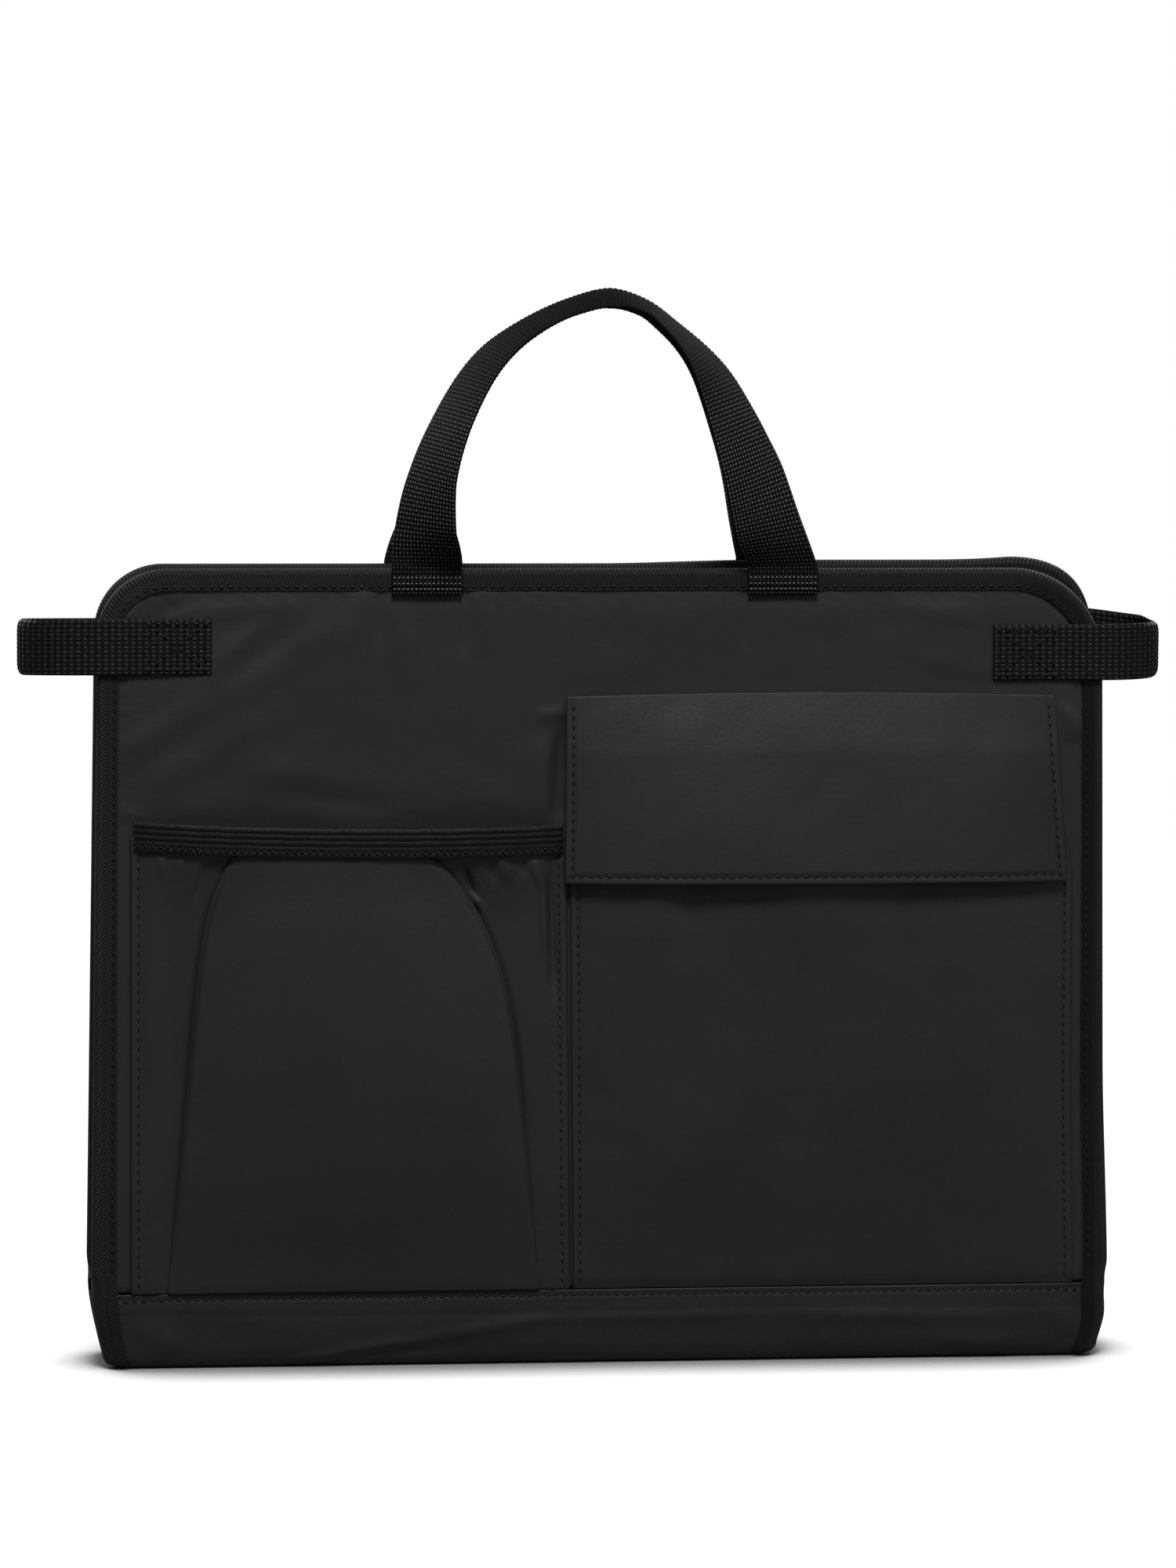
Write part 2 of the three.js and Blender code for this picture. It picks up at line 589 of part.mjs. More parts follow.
// Thin sheet in front of a panel: left and right edges, rises of its rows, and the stand-off of its
// inner face from the panel at a share of the width and of the rows
function sheetSolid(left, right, columns, rises, standoff, thickness) {
  return loftSolid(rises.map((rise, row) => {
    const inner = [];
    const outer = [];
    for (let column = 0; column <= columns; column += 1) {
      const share = column / columns;
      const x = mix(left, right, share);
      const off = standoff(share, row / (rises.length - 1));
      inner.push(new THREE.Vector3(x, -off, rise));
      outer.push(new THREE.Vector3(x, -off - thickness, rise));
    }
    return [...inner, ...outer.reverse()];
  }));
}

function evenRises(low, high, rows) {
  return Array.from({ length: rows + 1 }, (_, row) => mix(low, high, row / rows));
}

// Falls from one in the middle to zero at both ends
function crown(share, power) {
  return 1 - Math.abs(2 * share - 1) ** power;
}

// Pleated pocket: each side cloth runs under the middle one, turns back and folds over at the pleat
function pleatedBulge(share) {
  const filled = 1 - (1 - share) ** BULGE_POWER;
  return PLEATED_BULGE * filled * (1 - MOUTH_DRAW_SHARE * share ** HEM_POWER);
}

function pleatSide(edge, fold, lift) {
  const inwards = Math.sign(fold - edge);
  const flat = SEAT_GAP + POCKET_CLOTH / 2;
  const hidden = fold + inwards * PLEAT_LAP;
  const layer = (count) => -(flat + lift + count * LAYER_PITCH);
  return [
    new THREE.Vector2(edge, -flat),
    new THREE.Vector2(edge + inwards * PLEATED_SEWN_EDGE, -flat),
    new THREE.Vector2(hidden, layer(0)),
    new THREE.Vector2(hidden + inwards * PLEAT_TURN, layer(HALF)),
    new THREE.Vector2(hidden, layer(1)),
    new THREE.Vector2(fold, layer(1)),
    new THREE.Vector2(fold - inwards * PLEAT_TURN, layer(1 + HALF)),
    new THREE.Vector2(fold, layer(2)),
  ];
}

function pleatedPocket() {
  const rings = evenRises(POCKET_HEM_RISE, PLEATED_RISE, PLEATED_ROWS).map((rise, row) => {
    const share = row / PLEATED_ROWS;
    const lift = PLEAT_LIFT * share;
    const leftFold = PLEAT_LEFT_FOLD + PLEAT_LEFT_DRIFT * share ** PLEAT_LEFT_POWER;
    const rightFold = PLEAT_RIGHT_FOLD - PLEAT_RIGHT_DRIFT * share ** PLEAT_RIGHT_POWER;
    const leftSide = pleatSide(PLEATED_LEFT, leftFold, lift);
    const rightSide = pleatSide(PLEATED_RIGHT, rightFold, lift).reverse();
    const middle = [];
    for (let column = 1; column < PLEATED_COLUMNS; column += 1) {
      const across = column / PLEATED_COLUMNS;
      const y = leftSide.at(-1).y - pleatedBulge(share) * crown(across, BULGE_POWER);
      middle.push(new THREE.Vector2(mix(leftFold, rightFold, across), y));
    }
    const outline = stripOutline([...leftSide, ...middle, ...rightSide], POCKET_CLOTH);
    return outline.map((point) => new THREE.Vector3(point.x, point.y, rise));
  });
  return loftSolid(rings);
}

function pocketElastic() {
  const edgeOff = SEAT_GAP + POCKET_CLOTH + LAYER_GAP;
  const middleOff = edgeOff + PLEAT_LIFT + 2 * LAYER_PITCH + pleatedBulge(WHOLE) + LAYER_GAP;
  const standoff = (share) => mix(edgeOff, middleOff, crown(share, ELASTIC_CROWN_POWER));
  const rises = [ELASTIC_TOP_RISE - ELASTIC_WIDTH, ELASTIC_TOP_RISE];
  const left = PLEATED_LEFT + ELASTIC_SIDE_LAP;
  const right = PLEATED_RIGHT - ELASTIC_SIDE_LAP;
  return sheetSolid(left, right, ELASTIC_COLUMNS, rises, standoff, ELASTIC_THICKNESS);
}

function patchPocket() {
  const standoff = (share, riseShare) => {
    const filled = 1 - (1 - riseShare) ** HEM_POWER;
    return SEAT_GAP + PATCH_STANDOFF * crown(share, CROWN_POWER) * filled;
  };
  const rises = evenRises(POCKET_HEM_RISE, PATCH_RISE, PATCH_ROWS);
  return sheetSolid(PATCH_LEFT, PATCH_RIGHT, PATCH_COLUMNS, rises, standoff, POCKET_CLOTH);
}

// Flap: it leaves the panel at its top seam, passes over the pocket's mouth and hangs clear of it
function flapStandoff(share, downShare) {
  const edgeRamp = Math.min(1, downShare / FLAP_EDGE_RAMP_SHARE);
  const edge = mix(SEAT_GAP, FLAP_EDGE_STANDOFF, edgeRamp);
  const ramp = Math.sin(Math.min(1, downShare / FLAP_RAMP_SHARE) * QUARTER_TURN);
  return edge + (FLAP_INNER - FLAP_EDGE_STANDOFF) * crown(share, CROWN_POWER) * ramp;
}

function flapLayer(offset, thickness) {
  const rises = evenRises(FLAP_TOP_RISE - FLAP_HEIGHT, FLAP_TOP_RISE, FLAP_ROWS);
  const standoff = (share, riseShare) => flapStandoff(share, 1 - riseShare) + offset;
  return sheetSolid(FLAP_LEFT, FLAP_RIGHT, PATCH_COLUMNS, rises, standoff, thickness);
}

function gripTape(inner) {
  const piece = new THREE.BoxGeometry(GRIP_TAPE_LENGTH, GRIP_TAPE_THICKNESS, GRIP_TAPE_WIDTH);
  const rise = FLAP_TOP_RISE - FLAP_HEIGHT + GRIP_TAPE_ABOVE_HEM + GRIP_TAPE_WIDTH / 2;
  piece.translate((FLAP_LEFT + FLAP_RIGHT) / 2, -inner - GRIP_TAPE_THICKNESS / 2, rise);
  return piece;
}

function addPockets(frame) {
  addPiece(frame, "pleated_pocket", pleatedPocket(), cloth());
  addPiece(frame, "pocket_elastic", pocketElastic(), tape());
  addPiece(frame, "flap_pocket", patchPocket(), cloth());
  addPiece(frame, "pocket_loop_tape", gripTape(LOOP_TAPE_INNER), tape());
  addPiece(frame, "flap_hook_tape", gripTape(HOOK_TAPE_INNER), tape());
  addPiece(frame, "flap_lining", flapLayer(0, FLAP_LINING_CLOTH), lining());
  addPiece(frame, "flap_outer", flapLayer(FLAP_LINING_CLOTH + LAYER_GAP, FLAP_CLOTH), flapCloth());
}

const frontFrame = panelFrame(0);
const rearFrame = panelFrame(Math.PI);
addBase();
addPanel(frontFrame, "front", { left: LEFT_CORNER_RADIUS, right: RIGHT_CORNER_RADIUS });
addPanel(rearFrame, "rear", { left: RIGHT_CORNER_RADIUS, right: LEFT_CORNER_RADIUS });
addPockets(frontFrame);
addHandleTabs(frontFrame, "front_handle_left_tab", "front_handle_right_tab");
addHandleTabs(rearFrame, "rear_handle_right_tab", "rear_handle_left_tab");
addPiece(organizer, "left_gusset", gusset(-1), cloth());
addPiece(organizer, "right_gusset", gusset(1), cloth());
addPiece(organizer, "left_side_loop", sideLoop(-1, LOOP_REACH_LEFT), webbing());
addPiece(organizer, "right_side_loop", sideLoop(1, LOOP_REACH_RIGHT), webbing());
addPiece(organizer, "front_handle", handle(1), webbing());
addPiece(organizer, "rear_handle", handle(-1), webbing());

export default organizer;
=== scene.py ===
import math

import bmesh
import bpy
import numpy as np
from mathutils import Matrix, Vector


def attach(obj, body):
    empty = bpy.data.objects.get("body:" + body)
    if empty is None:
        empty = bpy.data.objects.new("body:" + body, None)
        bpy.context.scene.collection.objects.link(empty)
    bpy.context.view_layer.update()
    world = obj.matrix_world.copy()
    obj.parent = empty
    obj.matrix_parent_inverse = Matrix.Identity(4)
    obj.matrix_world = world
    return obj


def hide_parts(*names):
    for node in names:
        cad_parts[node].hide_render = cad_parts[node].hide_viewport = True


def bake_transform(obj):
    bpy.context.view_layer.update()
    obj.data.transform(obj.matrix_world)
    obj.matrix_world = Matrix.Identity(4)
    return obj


# Purse organizer insert in dark cloth: padded panels, a pleated pocket with an elastic mouth, a patch
# pocket under a flap, webbing handles and side loops. Lengths are millimetres until a mesh is made. The
# sizes of body, layers, webbing and pockets are the solids' own, and the rest shapes the cloth. Depth is
# measured into the bag from a panel's outer face, and rise is measured up the panel from the base seam.

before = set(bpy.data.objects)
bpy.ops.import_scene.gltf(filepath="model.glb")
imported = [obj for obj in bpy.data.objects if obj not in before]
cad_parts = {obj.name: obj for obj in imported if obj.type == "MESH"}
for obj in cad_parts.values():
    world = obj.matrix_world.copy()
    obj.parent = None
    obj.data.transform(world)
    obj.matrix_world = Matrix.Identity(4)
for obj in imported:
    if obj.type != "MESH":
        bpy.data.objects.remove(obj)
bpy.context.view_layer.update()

MM = 0.001
TINY = 1e-9
HALF = 0.5
QUARTER_TURN = math.pi / 2
FULL_TURN = 2 * math.pi

# Whole body
BODY_HEIGHT = 284
SEAM_WIDTH = 363
SIDE_TAPER = 2.5
SEAM_HEIGHT = 27
SEAM_DEPTH = 42
MOUTH_DEPTH = 28
LEFT_CORNER_RADIUS = 24
RIGHT_CORNER_RADIUS = 33
TOP_WIDTH = SEAM_WIDTH - 2 * SIDE_TAPER
LEAN = math.atan2((SEAM_DEPTH - MOUTH_DEPTH) / 2, BODY_HEIGHT - SEAM_HEIGHT)
PANEL_RISE = (BODY_HEIGHT - SEAM_HEIGHT) / math.cos(LEAN)

# Layers of a panel and its binding tape
OUTER_CLOTH = 0.7
FOAM_THICKNESS = 2.4
LINING_CLOTH = 0.6
LAYER_GAP = 0.25
SEAT_GAP = 0.3
BINDING_WIDTH = 8.8
BINDING_TAPE = 0.7
BINDING_RIM = LAYER_GAP + BINDING_TAPE
PADDING_DEPTH = OUTER_CLOTH + LAYER_GAP + FOAM_THICKNESS
LINING_DEPTH = PADDING_DEPTH + LAYER_GAP
PANEL_THICKNESS = LINING_DEPTH + LINING_CLOTH

# Base
FOOT_NARROWING = 5.5
FOOT_THINNING = 3
FOOT_EDGE_RADIUS = 4
FOOT_CURVE_POWER = 1.6
BASE_CORNER_RADIUS = 5.5
BAND_CLOTH = 0.9
BASE_TAPE_TURN = 6
BASE_FOAM_OFFSET = BAND_CLOTH + LAYER_GAP
BASE_LINING_OFFSET = BASE_FOAM_OFFSET + FOAM_THICKNESS + LAYER_GAP

# Gussets
GUSSET_CLOTH = 0.8
GUSSET_FOLD = 26
GUSSET_TOP_DROP = 26
GUSSET_TOP_FLANGE = 6
GUSSET_EDGE_INSET = 1.2
GUSSET_FOLD_POWER = 0.85
GUSSET_CREASE_RADIUS = 1.5

# Webbing
WEBBING_THICKNESS = 1.7
HANDLE_WIDTH = 25
HANDLE_SPREAD = 126.6
HANDLE_OVERLAP = 9
HANDLE_TOP_CLEARANCE = 0.8
HANDLE_HEIGHT = 94.5
HANDLE_APART = 1.6
HANDLE_CUP = 1.5
LOOP_WIDTH = 20
LEFT_LOOP_HEIGHT = BODY_HEIGHT - 26.9
RIGHT_LOOP_HEIGHT = BODY_HEIGHT - 29.6
LOOP_SEWN_LENGTH = 40
LOOP_REACH_LEFT = 27
LOOP_REACH_RIGHT = 22
LOOP_REAR_DROP = 2.5
WEBBING_MIDDLE = BINDING_RIM + SEAT_GAP + WEBBING_THICKNESS / 2

# Pockets
POCKET_CLOTH = 0.8
POCKET_HEM_RISE = 0.6
PLEATED_LEFT = 13.9 - SEAM_WIDTH / 2
PLEATED_RIGHT = -11.6
PATCH_LEFT = -10.3
PATCH_RIGHT = SEAM_WIDTH / 2 - 13
PATCH_RISE = 188
PLEATED_RISE = PATCH_RISE - 25
PLEATED_SEWN_EDGE = 6
PLEAT_LEFT_FOLD = PLEATED_LEFT + 14.4
PLEAT_RIGHT_FOLD = PLEATED_RIGHT - 12.4
PLEAT_LEFT_DRIFT = 14.5
PLEAT_RIGHT_DRIFT = 13
PLEAT_LEFT_SHOULDER = 14
PLEAT_RIGHT_SHOULDER = 33
PLEAT_LEFT_POWER = 10
PLEAT_RIGHT_POWER = 6.3
PLEAT_LAP = 9
PLEAT_TURN = 0.8
PLEAT_ROLL = 1.3
PLEAT_FRONT_LAYER = 3.4
PLEAT_HEM_PRESS = 0.3
PLEAT_HEM_REACH = 50
PLEAT_MOUTH_PRESS = 0.5
PLEAT_MOUTH_REACH = 80
PLEAT_VALLEY = 1.2
POCKET_MOUTH_REACH = 34
POCKET_LEAN = 2.2
PLEAT_LIFT = 2.5
ELASTIC_POWER = 3
PLEATED_BULGE = 7
PLEATED_FILL_POWER = 2.2
PLEATED_MOUTH_FLATTENING = 0.42
LAYER_PITCH = POCKET_CLOTH + SEAT_GAP
ELASTIC_WIDTH = 10.4
ELASTIC_THICKNESS = 1
ELASTIC_TOP_RISE = PLEATED_RISE + 2.5
ELASTIC_SIDE_LAP = 1
PATCH_STANDOFF = 6
FLAP_LEFT = PATCH_LEFT - 1.7
FLAP_RIGHT = PATCH_RIGHT - 1.2
FLAP_TOP_RISE = PATCH_RISE + 24
FLAP_HEIGHT = 66
FLAP_CLOTH = 0.9
FLAP_LINING_CLOTH = 0.6
FLAP_EDGE_STANDOFF = 1.8
GRIP_TAPE_THICKNESS = 0.9
GRIP_TAPE_LENGTH = 40
GRIP_TAPE_WIDTH = 14
GRIP_TAPE_ABOVE_HEM = 8
LOOP_TAPE_INNER = SEAT_GAP + PATCH_STANDOFF + POCKET_CLOTH + LAYER_GAP
HOOK_TAPE_INNER = LOOP_TAPE_INNER + GRIP_TAPE_THICKNESS + LAYER_GAP
FLAP_INNER = HOOK_TAPE_INNER + GRIP_TAPE_THICKNESS + LAYER_GAP

# Handle's run: share of half the spread, share of the height, share of a quarter turn of twist
HANDLE_RUN_SHARES = np.array([
    [-1, 0, 0],
    [-1.015, 0.14, 0.4],
    [-0.98, 0.335, 0.58],
    [-0.882, 0.525, 0.67],
    [-0.73, 0.71, 0.73],
    [-0.6, 0.81, 0.76],
    [-0.41, 0.9, 0.84],
    [-0.2, 0.965, 0.93],
    [0.04, 1, 1],
    [0.225, 0.965, 0.93],
    [0.35, 0.9, 0.83],
    [0.485, 0.81, 0.7],
    [0.59, 0.71, 0.58],
    [0.715, 0.525, 0.42],
    [0.82, 0.335, 0.28],
    [0.91, 0.14, 0.14],
    [1, 0, 0],
])
APEX_RUN_STEP = 8
HANDLE_POINTS = 3000
HANDLE_LEAN_POWER = 1.5
HANDLE_BULGE = 7
HANDLE_BULGE_POWER = 0.7
HANDLE_BANK = 0.22
HANDLE_BANK_POWER = 6

# The rear handle stands behind the front one in the photograph: each point moves to the right by a share of
# its distance from the front handle, and its right leg turns further
REAR_HANDLE_SHIFT_SHARE = 0.115
REAR_HANDLE_SHIFT_RUN = 0.2
REAR_HANDLE_DROP = 2
REAR_EXTRA_TWIST = 0.5


# Small helpers for shapes

CORNER_CUT = 0.25
FOLD_FADE_RUN = 0.4
FOLD_FADE_START = 0.3
WAVE_COUNT = 7
WAVE_STRETCH = (0.7, 1.6)


def mix(a, b, share):
    """Value at a share of the way from a to b"""
    return a + (b - a) * share


def ease(share):
    """Smooth step from 0 to 1"""
    share = np.clip(share, 0, 1)
    return share * share * (3 - 2 * share)


def crown(share, power):
    """One in the middle of a width and nothing at its sides"""
    return 1 - np.abs(2 * share - 1) ** power


def hump(distance, width):
    """One at a line and nothing beyond about twice the width from it"""
    return np.exp(-(distance / width) ** 2)


def from_front(x, depth, rise):
    """Points of the front panel in the whole object's frame"""
    x, depth, rise = np.broadcast_arrays(x, depth, rise)
    y = depth * math.cos(LEAN) + rise * math.sin(LEAN) - SEAM_DEPTH / 2
    z = rise * math.cos(LEAN) - depth * math.sin(LEAN) + SEAM_HEIGHT
    return np.stack([x, y, z], axis=-1)


FRONT_TURN = np.array([1, 1, 1])
REAR_TURN = np.array([-1, -1, 1])


def from_rear(x, depth, rise):
    """Points of the rear panel: the front panel turned half round"""
    return from_front(x, depth, rise) * REAR_TURN


def stops(low, high, edge_reach, edge_step, middle_step):
    """Places along a length, closer together near both ends"""
    edge = np.arange(0, edge_reach, edge_step)
    count = max(2, int((high - low - 2 * edge_reach) / middle_step))
    middle = np.linspace(low + edge_reach, high - edge_reach, count)
    return np.concatenate([low + edge, middle, high - edge[::-1]])


def run_lengths(points):
    """Length from the first point to each point of a line"""
    steps = np.linalg.norm(np.diff(points, axis=0), axis=-1)
    return np.concatenate([[0], np.cumsum(steps)])


def rounded_line(points, times):
    """Cuts the corners of an open line, again and again, and keeps its ends"""
    for _ in range(times):
        near = mix(points[:-1], points[1:], CORNER_CUT)
        far = mix(points[:-1], points[1:], 1 - CORNER_CUT)
        cut = np.stack([near, far], axis=1).reshape(-1, points.shape[1])
        points = np.concatenate([points[:1], cut[1:-1], points[-1:]])
    return points


def soft_folds(x, rise, folds):
    """Height of listed soft folds: each has two ends, a half width and a height"""
    total = np.zeros(np.broadcast(x, rise).shape)
    for (x0, z0), (x1, z1), width, height in folds:
        dx, dz = x1 - x0, z1 - z0
        share = ((x - x0) * dx + (rise - z0) * dz) / (dx * dx + dz * dz)
        off = np.hypot(x - x0 - share * dx, rise - z0 - share * dz)
        begun = ease(share / FOLD_FADE_RUN + FOLD_FADE_START)
        ended = ease((1 - share) / FOLD_FADE_RUN + FOLD_FADE_START)
        total = total + height * hump(off, width) * (begun * ended)
    return total


def gentle_waves(x, rise, seed, size, height):
    """Slow uneven waves, the same every time"""
    random = np.random.default_rng(seed)
    total = np.zeros(np.broadcast(x, rise).shape)
    for _ in range(WAVE_COUNT):
        angle, phase, stretch = random.uniform(0, FULL_TURN, 2).tolist() + [random.uniform(*WAVE_STRETCH)]
        along = (x * math.cos(angle) + rise * math.sin(angle)) * FULL_TURN / (size * stretch)
        total = total + np.sin(along + phase)
    return total * height / WAVE_COUNT


# How the bag has settled. Its lower right corner slumps outwards, the foot most. The rear panel's right
# corner stands out beyond the front one, and the top edge beside it is a little higher. Each value named
# for a run is the length over which such a shift fades in or out.
SLUMP_START = 130
SLUMP_RUN = 45
SIDE_SLUMP = 1.5
SIDE_SLUMP_TOP = 110
SIDE_SLUMP_RUN = 80
FOOT_SLUMP = 1.8
FOOT_SLUMP_TOP = SEAM_HEIGHT - 2
FOOT_SLUMP_RUN = 12
REAR_START = 2
REAR_RUN = 8
REAR_CORNER = (168, 273)
REAR_CORNER_PUSH = 3.2
REAR_CORNER_REACH = 22
REAR_TOP_LIFT = 1.2
REAR_TOP_START = 240
REAR_TOP_RUN = 40
REAR_TOP_SIDE_RUN = 60
REAR_TOP_END = 290


def settled(points):
    """Points of any piece, moved to where the settled bag has them"""
    x, y, z = points[..., 0], points[..., 1], points[..., 2]
    side = SIDE_SLUMP * ease((SIDE_SLUMP_TOP - z) / SIDE_SLUMP_RUN)
    foot = FOOT_SLUMP * ease((FOOT_SLUMP_TOP - z) / FOOT_SLUMP_RUN)
    rear = ease((y - REAR_START) / REAR_RUN)
    corner = rear * hump(np.hypot(x - REAR_CORNER[0], z - REAR_CORNER[1]), REAR_CORNER_REACH)
    top = rear * ease((z - REAR_TOP_START) / REAR_TOP_RUN) * ease(x / REAR_TOP_SIDE_RUN)
    top = top * (1 - ease((z - REAR_TOP_END) / REAR_TOP_SIDE_RUN))
    moved = points.copy()
    moved[..., 0] = x + (side + foot) * ease((x - SLUMP_START) / SLUMP_RUN) + REAR_CORNER_PUSH * corner
    moved[..., 2] = z + REAR_CORNER_PUSH * corner + REAR_TOP_LIFT * top
    return moved


# Meshes

def new_object(name, data):
    """Object in the scene that shows some data"""
    made = bpy.data.objects.new(name, data)
    bpy.context.scene.collection.objects.link(made)
    return made


def point_places(mesh):
    """Places of a mesh's points in metres"""
    return np.array([v.co for v in mesh.vertices])


def move_points(mesh, places):
    """Sets all points of a mesh to places in metres"""
    mesh.vertices.foreach_set("co", places.ravel())
    mesh.update()


def unit(vectors):
    """Vectors in rows, made one long"""
    return vectors / np.linalg.norm(vectors, axis=1, keepdims=True)


def make_mesh(name, points, faces, uvs, merge=0):
    """Smooth mesh in metres with its faces turned outwards. Points closer than merge become one."""
    points = settled(points.reshape(-1, 3)) * MM
    corner = points[faces]
    first = np.cross(corner[:, 1], corner[:, 2])
    second = np.cross(corner[:, 2], corner[:, 3])
    volume = np.sum(corner[:, 0] * (first + second))
    if volume < 0:
        faces = faces[:, ::-1]
    mesh = bpy.data.meshes.new(name)
    mesh.from_pydata(points.tolist(), [], faces.tolist())
    layer = mesh.uv_layers.new(name="cloth")
    layer.data.foreach_set("uv", (uvs.reshape(-1, 2) * MM)[faces.ravel()].ravel())
    mesh.polygons.foreach_set("use_smooth", [True] * len(mesh.polygons))
    mesh.update()
    piece = new_object(name, mesh)
    if merge:
        work = bmesh.new()
        work.from_mesh(mesh)
        bmesh.ops.remove_doubles(work, verts=work.verts, dist=merge * MM)
        work.to_mesh(mesh)
        work.free()
    return piece


def grid_uv(points):
    """Real lengths across and along a grid of points"""
    across = np.linalg.norm(np.diff(points, axis=1), axis=-1)
    across = np.concatenate([np.zeros((len(points), 1)), np.cumsum(across, axis=1)], axis=1)
    along = np.linalg.norm(np.diff(points, axis=0), axis=-1)
    along = np.concatenate([np.zeros((1, points.shape[1])), np.cumsum(along, axis=0)], axis=0)
    return np.stack([across, along], axis=-1)


def grid_normals(points, wrap=False):
    """Direction square to a grid at each of its points. wrap says that its columns run round."""
    if wrap:
        across = np.roll(points, -1, axis=1) - np.roll(points, 1, axis=1)
    else:
        across = np.gradient(points, axis=1)
    normals = np.cross(across, np.gradient(points, axis=0))
    return normals / np.maximum(np.linalg.norm(normals, axis=-1, keepdims=True), TINY)


def cloth_between(name, outer, inner, uvs=None):
    """Closed cloth between two grids of points, joined round their rim"""
    rows, columns = outer.shape[:2]
    count = rows * columns
    index = np.arange(count).reshape(rows, columns)
    front = np.stack([index[:-1, :-1], index[:-1, 1:], index[1:, 1:], index[1:, :-1]], -1).reshape(-1, 4)
    loop = np.concatenate([index[0, :-1], index[:-1, -1], index[-1, :0:-1], index[:0:-1, 0]])
    following = np.roll(loop, -1)
    rim = np.stack([following, loop, loop + count, following + count], -1)
    faces = np.concatenate([front, front[:, ::-1] + count, rim])
    if uvs is None:
        uvs = grid_uv(outer)
    return make_mesh(name, np.stack([outer, inner]), faces, np.stack([uvs, uvs]))


def cloth_round(name, middle, thickness, uvs=None):
    """Closed cloth of an even thickness on both sides of a grid of points"""
    reach = grid_normals(middle) * thickness / 2
    return cloth_between(name, middle + reach, middle - reach, uvs)


def bowl_between(name, outer, inner):
    """Closed bowl: its columns run round, and its first row is a line along its floor"""
    rows, columns = outer.shape[:2]
    count = rows * columns
    index = np.arange(count).reshape(rows, columns)
    beside = np.roll(index, -1, axis=1)
    front = np.stack([index[:-1], beside[:-1], beside[1:], index[1:]], -1).reshape(-1, 4)
    last = index[-1]
    following = np.roll(last, -1)
    rim = np.stack([last, following, following + count, last + count], -1)
    faces = np.concatenate([front, front[:, ::-1] + count, rim])
    uvs = grid_uv(outer)
    return make_mesh(name, np.stack([outer, inner]), faces, np.stack([uvs, uvs]), merge=0.01)


# Padded panels: a closed cushion whose rim is held by the binding, puffed by a cloth simulation

PUFF_FRAMES = 20
PUFF_PRESSURE = 4
PUFF_GROWTH = 0.012
PUFF_QUALITY = 5
PANEL_STEP = 3.0
LINING_STEP = 5
PANEL_EDGE_INSET = 1.4
PANEL_SIDE_POWER = 10
PANEL_TOP_RUN = 14
HELD_CAP = 0.05
PUCKER_PITCH = 7.5
PUCKER_REACH = 6
PUCKER_HEIGHT = 0.08
PUCKER_DRIFT = 4
PUCKER_DRIFT_PITCH = 17
COVERED_REACH = 4
COVERED_RUN = 5
FOLD_DEPTH = 0.65

# Size and height of waves: a cushion's before it is puffed, a panel's outer face in three sizes, a lining's
PANEL_UNEVENNESS = (30, 0.3)
PANEL_SLACK = [(48, 0.5), (17, 0.16), (9, 0.06)]
LINING_SLACK = (60, 0.5)
LINING_SIDE_POWER = 8
LINING_HEM_RUN = 20


def panel_sides(rise, inset, left_radius, right_radius):
    """Left and right edges of a panel at a rise: tapering sides and round top corners"""
    sides = []
    for sign, radius in ((-1, left_radius), (1, right_radius)):
        start = PANEL_RISE - radius
        straight = mix(SEAM_WIDTH / 2, TOP_WIDTH / 2, np.clip(rise / start, 0, 1)) - inset
        above = np.clip(rise - start, 0, radius - inset)
        curved = TOP_WIDTH / 2 - radius + np.sqrt((radius - inset) ** 2 - above ** 2)
        sides.append(sign * np.where(rise > start, curved, straight))
    return sides


def panel_grid(inset, bottom, left_radius, right_radius, step):
    """Grid of places that fills a panel's outline"""
    reach = max(left_radius, right_radius)
    start = PANEL_RISE - reach
    low = np.linspace(bottom, start, int((start - bottom) / step), endpoint=False)
    angles = np.linspace(0, QUARTER_TURN, int(reach * QUARTER_TURN / step))
    rise = np.concatenate([low, start + (reach - inset) * np.sin(angles)])
    left, right = panel_sides(rise, inset, left_radius, right_radius)
    shares = np.linspace(0, 1, int(SEAM_WIDTH / step))
    x = mix(left[:, None], right[:, None], shares[None, :])
    return x, np.broadcast_to(rise[:, None], x.shape)


def puff(piece, held, cap):
    """Blows a closed cushion up as cloth, holds some points, and caps how far the others move"""
    group = piece.vertex_groups.new(name="held")
    group.add(np.flatnonzero(held).tolist(), 1, "REPLACE")
    cloth = piece.modifiers.new("puff", "CLOTH")
    cloth.settings.vertex_group_mass = "held"
    cloth.settings.use_pressure = True
    cloth.settings.uniform_pressure_force = PUFF_PRESSURE
    cloth.settings.effector_weights.gravity = 0
    cloth.settings.shrink_min = -PUFF_GROWTH
    cloth.settings.quality = PUFF_QUALITY
    cloth.point_cache.frame_start = 1
    cloth.point_cache.frame_end = PUFF_FRAMES
    for step in range(1, PUFF_FRAMES + 1):
        bpy.context.scene.frame_set(step)
    done = piece.evaluated_get(bpy.context.evaluated_depsgraph_get())
    puffed = point_places(done.data)
    rest = point_places(piece.data)
    piece.modifiers.remove(cloth)
    piece.vertex_groups.remove(group)
    bpy.context.scene.frame_set(1)
    moved = puffed - rest
    reach = np.linalg.norm(moved, axis=1, keepdims=True)
    limit = cap[:, None] * MM
    kept = moved * limit * np.tanh(reach / limit) / np.maximum(reach, TINY)
    move_points(piece.data, rest + kept)


